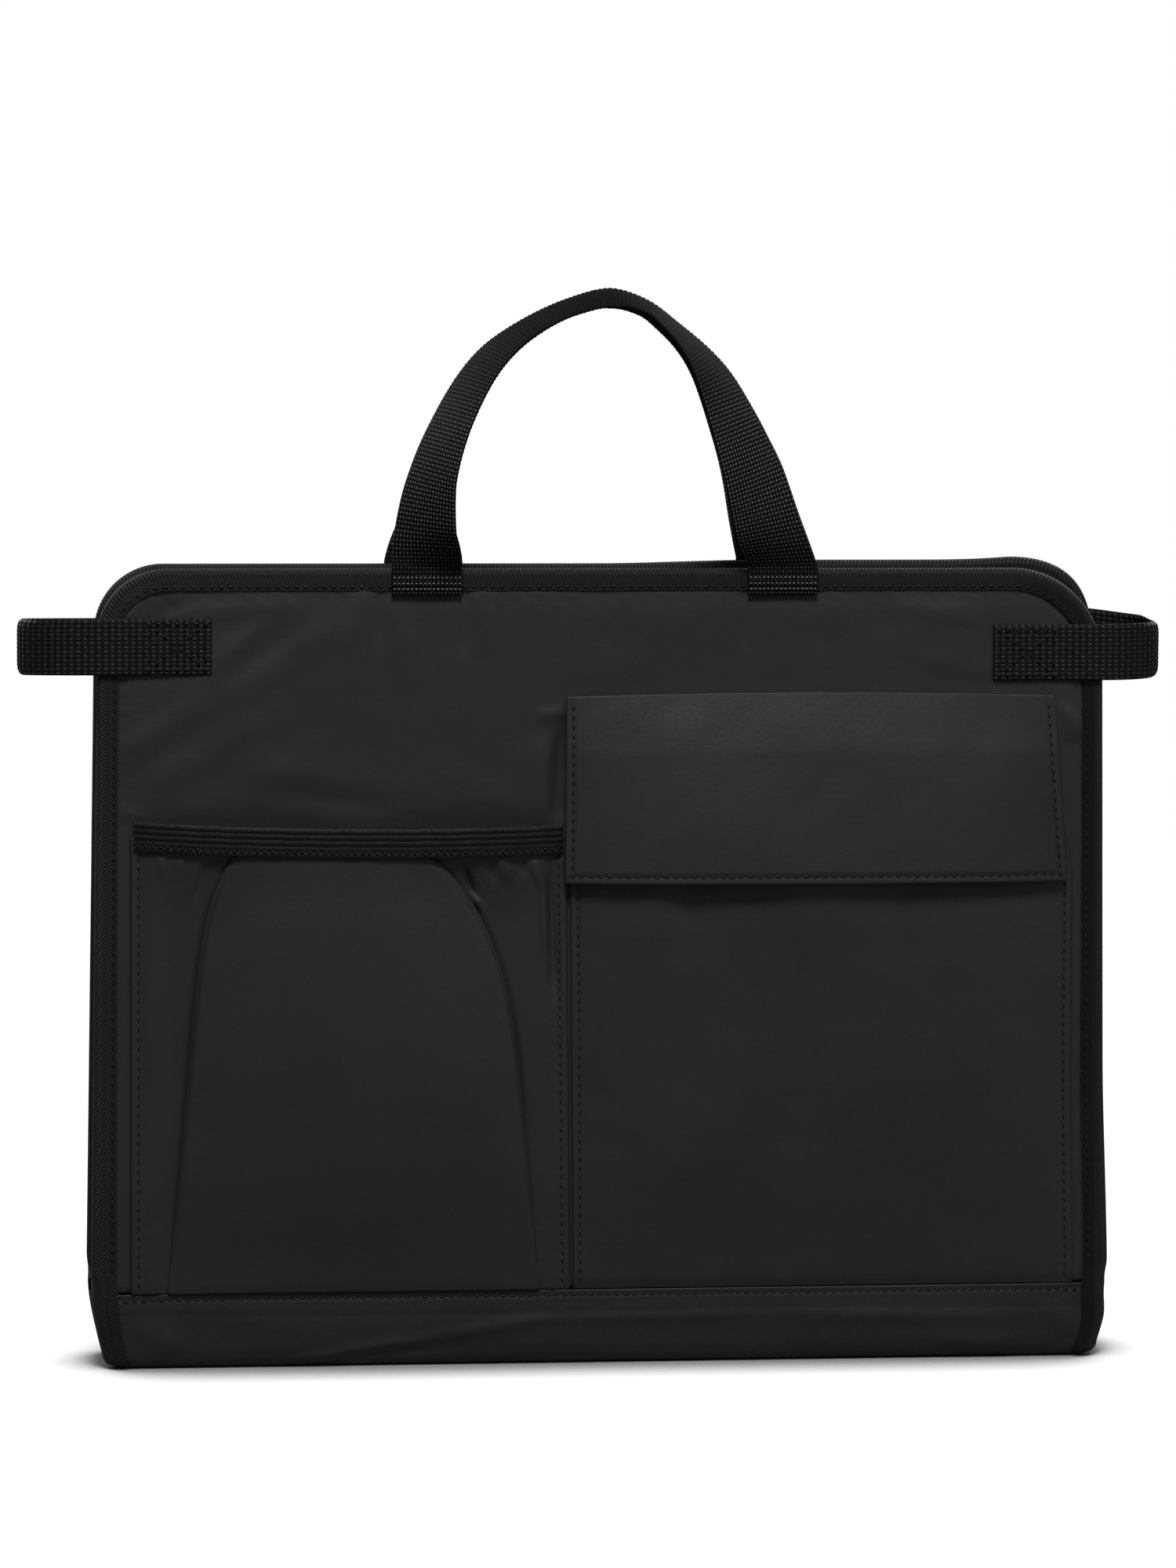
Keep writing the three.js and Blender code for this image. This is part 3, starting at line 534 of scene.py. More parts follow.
def subdivided(piece):
    """The piece with one subdivision made into its plain mesh"""
    smooth = piece.modifiers.new("smooth", "SUBSURF")
    smooth.levels = smooth.render_levels = 1
    done = piece.evaluated_get(bpy.context.evaluated_depsgraph_get())
    mesh = bpy.data.meshes.new_from_object(done)
    piece.modifiers.remove(smooth)
    piece.data = mesh
    return piece


def fold_panel(piece, turn, left_radius, right_radius, folds, seed, reach):
    """Presses listed folds and the puckers along the binding into a panel's outer face"""
    points = point_places(piece.data) / MM * turn
    x, y, z = points.T
    depth = (y + SEAM_DEPTH / 2) * math.cos(LEAN) - (z - SEAM_HEIGHT) * math.sin(LEAN)
    rise = (z - SEAM_HEIGHT) * math.cos(LEAN) + (y + SEAM_DEPTH / 2) * math.sin(LEAN)
    left, right = panel_sides(np.minimum(rise, PANEL_RISE - PANEL_EDGE_INSET), BINDING_WIDTH, left_radius,
                              right_radius)
    below = np.minimum(x - left, np.minimum(right - x, PANEL_RISE - BINDING_WIDTH - rise))
    drift = PUCKER_DRIFT * np.sin((x - rise) / PUCKER_DRIFT_PITCH)
    pucker = PUCKER_HEIGHT * np.sin((x + rise) * FULL_TURN / PUCKER_PITCH + drift)
    shape = soft_folds(x, rise, folds) * FOLD_DEPTH + pucker * hump(np.maximum(below, 0), PUCKER_REACH)
    for place, (size, height) in enumerate(PANEL_SLACK):
        shape = shape + gentle_waves(x, rise, seed + place, size, height)
    bare = ease((below + COVERED_REACH) / COVERED_RUN)
    free = np.minimum(1, reach(x, rise)) * (depth < PADDING_DEPTH / 2) * bare
    lift = shape * free
    moved = np.stack([x, y - lift * math.cos(LEAN), z + lift * math.sin(LEAN)], axis=-1) * turn
    move_points(piece.data, moved * MM)


def padded_panel(name, turn, left_radius, right_radius, folds, seed, reach):
    """Outer cloth and foam as one cushion. reach says how far each place may puff outwards."""
    x, rise = panel_grid(PANEL_EDGE_INSET, SEAT_GAP, left_radius, right_radius, PANEL_STEP)
    share = (x - x[:, :1]) / (x[:, -1:] - x[:, :1])
    swell = reach(x, rise) * crown(share, PANEL_SIDE_POWER)
    swell = swell * np.minimum(1, (PANEL_RISE - rise) / PANEL_TOP_RUN)
    noise = gentle_waves(x, rise, seed, *PANEL_UNEVENNESS) * np.minimum(1, swell)
    outer = from_front(x, -noise, rise) * turn
    inner = from_front(x, PADDING_DEPTH + 0 * x, rise) * turn
    uvs = np.stack([x, rise], axis=-1)
    piece = cloth_between(name, outer, inner, uvs)
    rim = np.zeros(x.shape, bool)
    rim[:2] = rim[-2:] = True
    rim[:, :2] = rim[:, -2:] = True
    held = np.concatenate([rim.ravel(), np.ones(rim.size, bool)])
    cap = np.concatenate([np.maximum(HELD_CAP, swell).ravel(), np.full(rim.size, HELD_CAP)])
    puff(piece, held, cap)
    subdivided(piece)
    fold_panel(piece, turn, left_radius, right_radius, folds, seed + 100, reach)
    return piece


def lining_sheet(name, place, left_radius, right_radius, seed):
    """Inner cloth of a panel, a little slack away from its edges"""
    x, rise = panel_grid(PANEL_EDGE_INSET, SEAT_GAP, left_radius, right_radius, LINING_STEP)
    share = (x - x[:, :1]) / (x[:, -1:] - x[:, :1])
    slack = gentle_waves(x, rise, seed, *LINING_SLACK) * crown(share, LINING_SIDE_POWER)
    slack = slack * np.minimum(1, rise / LINING_HEM_RUN)
    depth = LINING_DEPTH + LINING_CLOTH / 2 + np.abs(slack)
    return cloth_round(name, place(x, depth, rise), LINING_CLOTH, np.stack([x, rise], axis=-1))


# Binding tape: one folded ribbon up one side, over the top and down the other, which opens out at the
# base to wrap its corners

TAPE_COLUMNS = 46
TAPE_RIM_POINTS = 18
TAPE_CORNER_POINTS = 14
TAPE_STITCH_INSET = 7.1
TAPE_STITCH_PRESS = 0.22
TAPE_STITCH_REACH = 1.3
TAPE_SLIMMEST = 0.85
TAPE_SLIM_RISE = 170
TAPE_RIM_FLATNESS = 0.85
TAPE_STEP = 1.6
TAPE_CORNER_STEP = 1.2
TAPE_OPEN_RISE = 9
TAPE_FOOT_INSET = 0.5
TAPE_FOOT_SHARE = 0.75
TAPE_FOOT_Z = 1.6
TAPE_FOOT_ROWS = 23
TAPE_FOOT_FOLD = (0.21, -0.49)
TAPE_FOOT_FOLD_TOP = 6
TAPE_FOOT_FOLD_RUN = 3

# Pitch and height of the puckers along the tape
TAPE_PUCKERS = [(6.6, 0.07), (41, 0.06)]


def foot_inset(height, reach):
    """How far the base's wall stands in at a height: a curved foot with a round edge"""
    wall = reach * np.maximum(0, 1 - height / SEAM_HEIGHT) ** FOOT_CURVE_POWER
    below = np.maximum(0, 1 - height / FOOT_EDGE_RADIUS)
    return wall + FOOT_EDGE_RADIUS * (1 - np.sqrt(1 - below * below))


def line_at(points, lengths):
    """Points of a line at given lengths from its start"""
    run = run_lengths(points)
    return np.stack([np.interp(lengths, run, points[:, i]) for i in range(points.shape[1])], axis=-1)


def tape_slimness(rise):
    """The tape's width narrows towards the top"""
    return mix(1, TAPE_SLIMMEST, np.clip(rise / TAPE_SLIM_RISE, 0, 1))


def panel_tape_section():
    """Inward and depth of the tape's middle, from its front edge round the panel's rim to its back edge"""
    front = -LAYER_GAP - BINDING_TAPE / 2
    back = PANEL_THICKNESS + LAYER_GAP + BINDING_TAPE / 2
    radius = (back - front) / 2
    middle = (back + front) / 2
    angles = np.linspace(0, math.pi, TAPE_RIM_POINTS)
    inward = radius * TAPE_RIM_FLATNESS * (1 - np.sin(angles))
    turn = np.stack([inward, middle - radius * np.cos(angles)], axis=-1)
    line = np.concatenate([[[BINDING_WIDTH, front]], turn, [[BINDING_WIDTH, back]]])
    total = run_lengths(line)[-1]
    return line_at(line, np.linspace(0, total, TAPE_COLUMNS))


def base_tape_section(height):
    """X and Y of the tape's middle round the base's front right corner at a height"""
    out = LAYER_GAP + BINDING_TAPE / 2
    half_length = SEAM_WIDTH / 2 - BINDING_RIM - foot_inset(height, FOOT_NARROWING) + out
    half_depth = SEAM_DEPTH / 2 - foot_inset(height, FOOT_THINNING) + out
    radius = BASE_CORNER_RADIUS + out
    angles = np.linspace(-QUARTER_TURN, 0, TAPE_CORNER_POINTS)
    corner = np.stack([
        half_length - radius + radius * np.cos(angles),
        -half_depth + radius + radius * np.sin(angles),
    ], axis=-1)
    inner = SEAM_WIDTH / 2 - BINDING_WIDTH - TAPE_FOOT_INSET
    inner = inner - foot_inset(height, FOOT_NARROWING) * TAPE_FOOT_SHARE
    end = -SEAM_DEPTH / 2 + BASE_TAPE_TURN + BASE_CORNER_RADIUS
    line = np.concatenate([[[inner, -half_depth]], corner, [[half_length, end]]])
    total = run_lengths(line)[-1]
    return line_at(line, np.linspace(0, total, TAPE_COLUMNS))


def tape_path(left_radius, right_radius):
    """Rim points of a panel and the inward direction at each, from the left foot over the top"""
    rows = []
    for rise in np.arange(0, PANEL_RISE - left_radius, TAPE_STEP):
        left = mix(SEAM_WIDTH / 2, TOP_WIDTH / 2, rise / (PANEL_RISE - left_radius))
        rows.append((-left, rise, 1, 0))
    for angle in np.arange(0, QUARTER_TURN, TAPE_CORNER_STEP / left_radius):
        c, s = math.cos(angle), math.sin(angle)
        x = left_radius - TOP_WIDTH / 2 - left_radius * c
        rows.append((x, PANEL_RISE - left_radius * (1 - s), c, -s))
    for x in np.arange(left_radius - TOP_WIDTH / 2, TOP_WIDTH / 2 - right_radius, TAPE_STEP):
        rows.append((x, PANEL_RISE, 0, -1))
    for angle in np.arange(QUARTER_TURN, 0, -TAPE_CORNER_STEP / right_radius):
        c, s = math.cos(angle), math.sin(angle)
        rows.append((TOP_WIDTH / 2 - right_radius * (1 - c), PANEL_RISE - right_radius * (1 - s), -c, -s))
    for rise in np.arange(PANEL_RISE - right_radius, -1, -TAPE_STEP):
        right = mix(SEAM_WIDTH / 2, TOP_WIDTH / 2, rise / (PANEL_RISE - right_radius))
        rows.append((right, max(rise, 0), -1, 0))
    return np.array(rows)


def binding_tape(name, place, left_radius, right_radius, turn):
    """A panel's whole tape. The front panel has a plain turn, and the rear panel is turned half round."""
    section = panel_tape_section()
    path = tape_path(left_radius, right_radius)
    pressed = hump(section[:, 0] - TAPE_STITCH_INSET, TAPE_STITCH_REACH) * TAPE_STITCH_PRESS
    sink = np.where(section[:, 1] < PANEL_THICKNESS / 2, pressed, -pressed)
    run = run_lengths(path[:, :2])
    rows = []
    for (x, rise, in_x, in_rise), length in zip(path, run):
        puckers = sum(height * math.sin(length * FULL_TURN / pitch) for pitch, height in TAPE_PUCKERS)
        inward = (section[:, 0] + puckers * (section[:, 0] / BINDING_WIDTH)) * tape_slimness(rise)
        row = place(x + in_x * inward, section[:, 1] + sink, rise + in_rise * inward)
        if rise < TAPE_OPEN_RISE and abs(in_x) == 1:
            foot = base_tape_section(np.array(SEAM_HEIGHT))
            sign = -1 if x < 0 else 1
            wrapped = np.stack([sign * foot[:, 0], foot[:, 1], np.full(TAPE_COLUMNS, SEAM_HEIGHT)], axis=-1)
            lifted = wrapped * turn + (row - place(x, 0, 0)) * np.array([0, 0, 1])
            row = mix(lifted, row, ease(rise / TAPE_OPEN_RISE))
        rows.append(row)
    foot_rows = []
    for z in np.linspace(SEAM_HEIGHT, TAPE_FOOT_Z, TAPE_FOOT_ROWS + 1)[1:]:
        corner = base_tape_section(np.array(z))
        corner = corner + np.array(TAPE_FOOT_FOLD) * ease((TAPE_FOOT_FOLD_TOP - z) / TAPE_FOOT_FOLD_RUN)
        foot_rows.append(np.stack([corner[:, 0], corner[:, 1], np.full(TAPE_COLUMNS, z)], axis=-1))
    foot_rows = np.array(foot_rows)
    left_rows = foot_rows[::-1] * np.array([-1, 1, 1])
    middle = np.concatenate([left_rows * turn, np.array(rows), foot_rows * turn])
    return cloth_round(name, middle, BINDING_TAPE)


# Base: band, padding and lining are bowls of one boat shape at growing offsets

BASE_COLUMNS = 288
BASE_CORNER_POINTS = 9
FLOOR_RINGS = 6
FOOT_RINGS = 7
WALL_RINGS = 52
SEAM_LIP = 0.4
SEAM_LIP_INNER = 0.9
SEAM_LIP_CLOTH = 0.7
SEAM_LEDGE = 0.95
SEAM_STITCH_DROP = 1.5
SEAM_GROOVE = 0.25
SEAM_GROOVE_REACH = 0.6
SEAM_PUCKER = 0.16
SEAM_PUCKER_PITCH = 6.3
SEAM_PUCKER_DRIFT = 3
SEAM_PUCKER_DRIFT_PITCH = 23
SEAM_PUCKER_DROP = 3.6
SEAM_PUCKER_REACH = 2.4
CREASE_DEPTH = 0.15
CREASE_DROP = 7.6
CREASE_REACH = 1.3
CREASE_WANDER = 0.5
CREASE_WANDER_PITCH = 37
BAND_SLACK = (55, 0.7)
BAND_SLACK_DROP = 14
BAND_SLACK_REACH = 8
BAND_WALL_START = 12
BAND_WALL_RUN = 4
BAND_FOOT_RUN = 5
BAND_FILLED_RISE = 9
BAND_END_THINNING = 0.7
BAND_END_START = 150
BAND_END_RUN = 26
BASE_FOLDS = [
    ((-112, 2), (-60, 11), 2.2, 0.8),
    ((-60, 11), (-15, 18), 2.6, 0.7),
    ((-20, 17.5), (60, 18), 3, 0.6),
    ((60, 18), (150, 16), 3.5, 0.7),
    ((-100, 3), (-40, 8), 3.5, -0.6),
    ((-165, 16), (-150, 8), 4, 0.8),
    ((158, 20), (170, 8), 4, 0.9),
    ((120, 8), (150, 5), 4, 0.7),
]


def base_ring(height, offset):
    """One level line round the base, from its right end"""
    half_length = SEAM_WIDTH / 2 - BINDING_RIM - foot_inset(height, FOOT_NARROWING) - offset
    half_depth = SEAM_DEPTH / 2 - foot_inset(height, FOOT_THINNING) - offset
    radius = BASE_CORNER_RADIUS - offset
    z = mix(offset, SEAM_HEIGHT, height / SEAM_HEIGHT)
    corners = [np.array([[half_length, 0]])]
    for corner, (sx, sy) in enumerate(((1, 1), (-1, 1), (-1, -1), (1, -1))):
        angles = (corner + np.linspace(0, 1, BASE_CORNER_POINTS)) * QUARTER_TURN
        corners.append(np.stack([
            sx * (half_length - radius) + radius * np.cos(angles),
            sy * (half_depth - radius) + radius * np.sin(angles),
        ], axis=-1))
    line = np.concatenate(corners + [corners[0]])
    total = run_lengths(line)[-1]
    ring = line_at(line, np.arange(BASE_COLUMNS) / BASE_COLUMNS * total)
    return np.concatenate([ring, np.full((BASE_COLUMNS, 1), z)], axis=1)


def floor_rings(offset):
    """Rings that close the floor, from its middle line out to the outline at height zero"""
    edge = base_ring(np.array(0.0), offset)
    half_depth = np.abs(edge[:, 1]).max()
    half_length = np.abs(edge[:, 0]).max()
    spine = edge.copy()
    spine[:, 1] = 0
    spine[:, 0] = np.clip(edge[:, 0], half_depth - half_length, half_length - half_depth)
    return [mix(spine, edge, step / FLOOR_RINGS) for step in range(FLOOR_RINGS)]


def base_layer(name, outer_offset, inner_offset, relief=None):
    """Bowl between two offsets. A layer with relief also gets a turned lip over the base seam."""
    heights = np.concatenate([np.linspace(0, FOOT_EDGE_RADIUS, FOOT_RINGS, endpoint=False),
                              np.linspace(FOOT_EDGE_RADIUS, SEAM_HEIGHT, WALL_RINGS)])
    grids = []
    for offset in (outer_offset, inner_offset):
        rings = floor_rings(offset) + [base_ring(np.array(height), offset) for height in heights]
        grids.append(np.array(rings))
    outer, inner = grids
    if relief:
        normals = grid_normals(outer, wrap=True)
        facing = np.sum(normals * outer * [0, 1, 0], axis=-1, keepdims=True)
        outwards = normals * np.where(facing < 0, -1, 1)
        outer = outer + outwards * relief(outer)[..., None]
        lip = outer[-1] + [0, 0, SEAM_LIP]
        inner_lip = mix(outer[-1], lip, SEAM_LIP_INNER) - outwards[-1] * BAND_CLOTH * SEAM_LIP_CLOTH
        outer = np.concatenate([outer, lip[None]])
        inner = np.concatenate([inner, inner_lip[None]])
    return bowl_between(name, outer, inner)


def band_relief(points):
    """Turned edge at the base seam, the sunken stitch line below it, and soft ridges lower down"""
    x, y, z = points[..., 0], points[..., 1], points[..., 2]
    below = SEAM_HEIGHT - z
    wall = ease((np.abs(y) - BAND_WALL_START) / BAND_WALL_RUN) * ease(z / BAND_FOOT_RUN)
    thinned = 1 - BAND_END_THINNING * ease((np.abs(x) - BAND_END_START) / BAND_END_RUN)
    filled = SEAM_LEDGE * ease(z / BAND_FILLED_RISE) * thinned
    groove = -SEAM_GROOVE * hump(below - SEAM_STITCH_DROP, SEAM_GROOVE_REACH)
    crease_drop = CREASE_DROP - CREASE_WANDER * np.sin(x / CREASE_WANDER_PITCH)
    crease = -CREASE_DEPTH * hump(below - crease_drop, CREASE_REACH)
    drift = SEAM_PUCKER_DRIFT * np.sin(x / SEAM_PUCKER_DRIFT_PITCH)
    puckers = SEAM_PUCKER * np.sin(x * FULL_TURN / SEAM_PUCKER_PITCH + drift)
    puckers = puckers * hump(below - SEAM_PUCKER_DROP, SEAM_PUCKER_REACH)
    slack = gentle_waves(x, z, 5, *BAND_SLACK) * hump(below - BAND_SLACK_DROP, BAND_SLACK_REACH)
    folds = soft_folds(x, z, BASE_FOLDS) * (y < 0)
    return wall * (filled + groove + crease + puckers + slack + folds)


# Gussets

GUSSET_ROWS = 64
GUSSET_BELLY = 1.2
GUSSET_BELLY_WAVES = 9
GUSSET_REAR_BELLY = 0.6
GUSSET_CREASE_POINT = 0.8


def gusset(name, sign):
    """Side cloth folded inwards between the panels, deeper towards the mouth"""
    rows = []
    for share in np.linspace(0, 1, GUSSET_ROWS):
        z = mix(SEAM_HEIGHT + SEAT_GAP, BODY_HEIGHT - GUSSET_TOP_DROP, share)
        rise = (z - SEAM_HEIGHT) / math.cos(LEAN)
        half_width = mix(SEAM_WIDTH, TOP_WIDTH, rise / PANEL_RISE) / 2
        depth = PANEL_THICKNESS + BINDING_RIM + SEAT_GAP + GUSSET_CLOTH / 2
        half_gap = -from_front(0, depth, rise)[1]
        edge = half_width - GUSSET_EDGE_INSET
        bend = edge - mix(GUSSET_EDGE_INSET, GUSSET_TOP_FLANGE, share)
        fold = bend - GUSSET_FOLD * share ** GUSSET_FOLD_POWER
        belly = GUSSET_BELLY * share * math.sin(share * GUSSET_BELLY_WAVES)
        between = mix(bend, fold, HALF)
        half_open = mix(half_gap, GUSSET_CREASE_RADIUS, HALF)
        line = np.array([
            [edge, -half_gap],
            [bend, -half_gap],
            [between, -half_open + belly],
            [fold, -GUSSET_CREASE_RADIUS],
            [fold - GUSSET_CREASE_POINT, 0],
            [fold, GUSSET_CREASE_RADIUS],
            [between, half_open + belly * GUSSET_REAR_BELLY],
            [bend, half_gap],
            [edge, half_gap],
        ])
        line = rounded_line(line, 3)
        rows.append(np.stack([sign * line[:, 0], line[:, 1], np.full(len(line), z)], axis=-1))
    return cloth_round(name, np.array(rows), GUSSET_CLOTH)


# Webbing straps with real raised yarns

YARN_RELIEF = 0.38
STRAP_EDGE_ROLL = 0.55
STRAP_EDGE_POWER = 16
HANDLE_YARNS = 19
HANDLE_YARN_LENGTH = 1.5
HANDLE_UNDER_SHARE = 0.85
HANDLE_STEP = HANDLE_YARN_LENGTH / 3
YARN_POINTS = 4
LOOP_YARN_WIDTH = 1.5
LOOP_RIB_PITCH = 2.4
LOOP_GROOVE_SHARE = 0.55
LOOP_STEP = LOOP_RIB_PITCH / 5
LOOP_FOOT_RUN = 4
LOOP_END_ROUNDING = 1.6
LOOP_EDGE_POWER = 8
LOOP_BIGHT_POINTS = 40


def yarn_height(across, along, across_pitch, along_pitch, under_share):
    """Height of plain weave: yarns that pass under show less than those that pass over"""
    wave = np.sin(math.pi * across / across_pitch) * np.sin(math.pi * along / along_pitch)
    return np.abs(wave) * np.where(wave > 0, 1, under_share)


def strap(name, middle, across, outward, width, columns, yarns):
    """Closed strap along stations that each give a middle, a sideways and an outward direction"""
    side = np.linspace(-1, 1, columns)
    along = run_lengths(middle)
    along = np.minimum(along, along[-1] - along)
    round_share = np.sqrt(np.clip(1 - np.abs(side) ** STRAP_EDGE_POWER, 0, 1))
    half = WEBBING_THICKNESS / 2 * mix(STRAP_EDGE_ROLL, 1, round_share)
    places = side * width / 2
    raised = yarns(places[None, :], along[:, None])
    spread = middle[:, None] + across[:, None] * places[None, :, None]
    reach = outward[:, None] * (half[None, :] - YARN_RELIEF + raised * YARN_RELIEF)[..., None]
    uvs = np.stack(np.broadcast_arrays(places[None, :] + width / 2, along[:, None]), axis=-1)
    return cloth_between(name, spread + reach, spread - reach, uvs)


def smooth_run(points, run):
    """Centripetal curve through points, at run values counted in points"""
    padded = np.concatenate([[2 * points[0] - points[1]], points, [2 * points[-1] - points[-2]]])
    low = np.minimum(run.astype(int), len(points) - 2)
    share = (run - low)[:, None]
    p0, p1, p2, p3 = (padded[low + i] for i in range(4))
    pairs = ((p0, p1), (p1, p2), (p2, p3))
    d0, d1, d2 = (np.linalg.norm(b - a, axis=1, keepdims=True) ** HALF for a, b in pairs)
    t1 = ((p1 - p0) / d0 - (p2 - p0) / (d0 + d1) + (p2 - p1) / d1) * d1
    t2 = ((p2 - p1) / d1 - (p3 - p1) / (d1 + d2) + (p3 - p2) / d2) * d1
    cubic = (2 * p1 - 2 * p2 + t1 + t2) * share ** 3 + (-3 * p1 + 3 * p2 - 2 * t1 - t2) * share ** 2
    return cubic + t1 * share + p1


def handle(name, facing):
    """Sewn tab, leg, arch, leg and sewn tab in one strap"""
    foot = from_front(0, -WEBBING_MIDDLE, PANEL_RISE + HANDLE_TOP_CLEARANCE + SEAT_GAP)
    apex_y = -(HANDLE_WIDTH + HANDLE_APART) / 2
    spread, height, twist = HANDLE_RUN_SHARES.T
    route = np.stack([
        spread * HANDLE_SPREAD / 2,
        mix(foot[1], apex_y, height ** HANDLE_LEAN_POWER)
        - HANDLE_BULGE * np.sin(math.pi * height ** HANDLE_BULGE_POWER),
        foot[2] + height * HANDLE_HEIGHT,
    ], axis=-1)
    if facing < 0:
        apart = 2 * np.abs(route[:, 1])
        route[:, 0] += REAR_HANDLE_SHIFT_SHARE * apart * ease(height / REAR_HANDLE_SHIFT_RUN)
        route[:, 2] -= REAR_HANDLE_DROP * height
    fine = np.linspace(0, len(route) - 1, HANDLE_POINTS)
    lengths = run_lengths(smooth_run(route, fine))
    run = np.interp(np.arange(0, lengths[-1], HANDLE_STEP), lengths, fine)
    middle = smooth_run(route, run)
    twist_share = np.interp(run, np.arange(len(route)), twist)
    if facing < 0:
        further = 1 + REAR_EXTRA_TWIST * (1 - twist_share)
        twist_share = twist_share * np.where(run > APEX_RUN_STEP, further, 1)
    quarter = twist_share * QUARTER_TURN
    turn = np.where(run <= APEX_RUN_STEP, quarter, math.pi - quarter)
    tangent = unit(np.gradient(middle, axis=0))
    up = np.array([0, math.sin(LEAN), math.cos(LEAN)])
    tilt = np.minimum(1, (middle[:, 2] - foot[2]) / HANDLE_WIDTH)[:, None]
    bank = -HANDLE_BANK * twist_share ** HANDLE_BANK_POWER
    across = np.stack([np.cos(turn), -np.sin(turn), bank], axis=-1)
    across = unit(across - tangent * np.sum(across * tangent, axis=1, keepdims=True) * tilt)
    outward = unit(np.cross(across, tangent))

    tab = np.arange(-HANDLE_OVERLAP - HANDLE_TOP_CLEARANCE - SEAT_GAP, 0, HANDLE_STEP)[:, None]
    left_tab = route[0] + up * tab
    right_tab = route[-1] + up * tab[::-1]
    front = np.array([0, -math.cos(LEAN), math.sin(LEAN)])
    flat = np.ones((len(tab), 3))
    middle = np.concatenate([left_tab, middle, right_tab])
    across = np.concatenate([flat * [1, 0, 0], across, flat * [-1, 0, 0]])
    outward = np.concatenate([flat * front, outward, flat * front])
    cup = np.concatenate([0 * tab[:, 0], HANDLE_CUP * twist_share, 0 * tab[:, 0]])
    mirror = np.array([1, facing, 1])
    middle, across, outward = middle * mirror, across * mirror, outward * mirror

    pitch = HANDLE_WIDTH / HANDLE_YARNS

    def yarns(places, along):
        return yarn_height(places + HANDLE_WIDTH / 2, along, pitch, HANDLE_YARN_LENGTH, HANDLE_UNDER_SHARE)

    columns = HANDLE_YARNS * YARN_POINTS + 1
    piece = strap(name, middle, across, outward, HANDLE_WIDTH, columns, yarns)
    bend_strap(piece, middle, outward, cup)
    return piece


def bend_strap(piece, middle, outward, cup):
    """Lifts the strap's middle outwards, so that its edges curl under"""
    rows = len(middle)
    points = point_places(piece.data) / MM
    columns = len(points) // (2 * rows)
    share = np.linspace(-1, 1, columns)
    lift = cup[:, None] * (1 - share[None, :] ** 2)
    moved = points.reshape(2, rows, columns, 3) + (outward[:, None] * lift[..., None])[None]
    move_points(piece.data, moved * MM)


def side_loop(name, sign, reach, height, rear_drop):
    """Webbing sewn on the front panel, round the bag's side and sewn on the rear panel"""
    rise = (height - SEAM_HEIGHT) / math.cos(LEAN)
    edge = mix(SEAM_WIDTH, TOP_WIDTH, rise / PANEL_RISE) / 2
    seat_y = from_front(0, -WEBBING_MIDDLE, rise)[1]
    end_y = from_front(0, -SEAT_GAP - WEBBING_THICKNESS / 2, rise)[1]
    angles = np.linspace(0, math.pi, LOOP_BIGHT_POINTS)
    bight = np.stack([edge + reach * np.sin(angles), seat_y * np.cos(angles)], axis=-1)
    sewn = np.array([
        [edge - LOOP_SEWN_LENGTH, end_y],
        [edge - BINDING_WIDTH - LOOP_FOOT_RUN, end_y],
        [edge - BINDING_WIDTH, seat_y],
    ])
    line = rounded_line(np.concatenate([sewn, bight, sewn[::-1] * [1, -1]]), 2)
    total = run_lengths(line)[-1]
    line = line_at(line, np.arange(0, total, LOOP_STEP))
    tangent = unit(np.gradient(line, axis=0))
    outward = np.stack([tangent[:, 1], -tangent[:, 0], 0 * tangent[:, 0]], axis=-1)
    if outward[0, 1] > 0:
        outward = -outward
    level_share = line[:, 1] / abs(seat_y)
    z = height - rear_drop * (HALF + HALF * level_share)
    middle = np.stack([sign * line[:, 0], line[:, 1], z], axis=-1)
    across = np.stack([0 * z, -math.tan(LEAN) * level_share, 1 + 0 * z], axis=-1)
    outward = outward * np.array([sign, 1, 1])

    def yarns(places, along):
        ribs = np.abs(np.sin(math.pi * along / LOOP_RIB_PITCH))
        dots = np.abs(np.sin(math.pi * (places + LOOP_WIDTH / 2) / LOOP_YARN_WIDTH))
        return ribs * mix(LOOP_GROOVE_SHARE, 1, dots)

    columns = int(LOOP_WIDTH / LOOP_YARN_WIDTH * YARN_POINTS) + 1
    piece = strap(name, middle, across, outward, LOOP_WIDTH, columns, yarns)
    points = point_places(piece.data) / MM
    tip = np.clip((np.abs(points[:, 0]) - edge) / reach, 0, 1)
    beside = np.abs(points[:, 2] - height + rear_drop / 2) / (LOOP_WIDTH / 2)
    points[:, 0] -= sign * LOOP_END_ROUNDING * tip ** 2 * np.clip(beside, 0, 1) ** LOOP_EDGE_POWER
    move_points(piece.data, points * MM)
    return piece


# Pockets and flap: depth of their outer faces, which the stitch rows use too

# Sewn edges and hems
STITCH_INSET = 2.6
EDGE_ROLL_INSET = 0.7
EDGE_REACH = 0.8
HEM_PRESS = 0.5
HEM_PRESS_REACH = 2
SIDE_POWER = 4

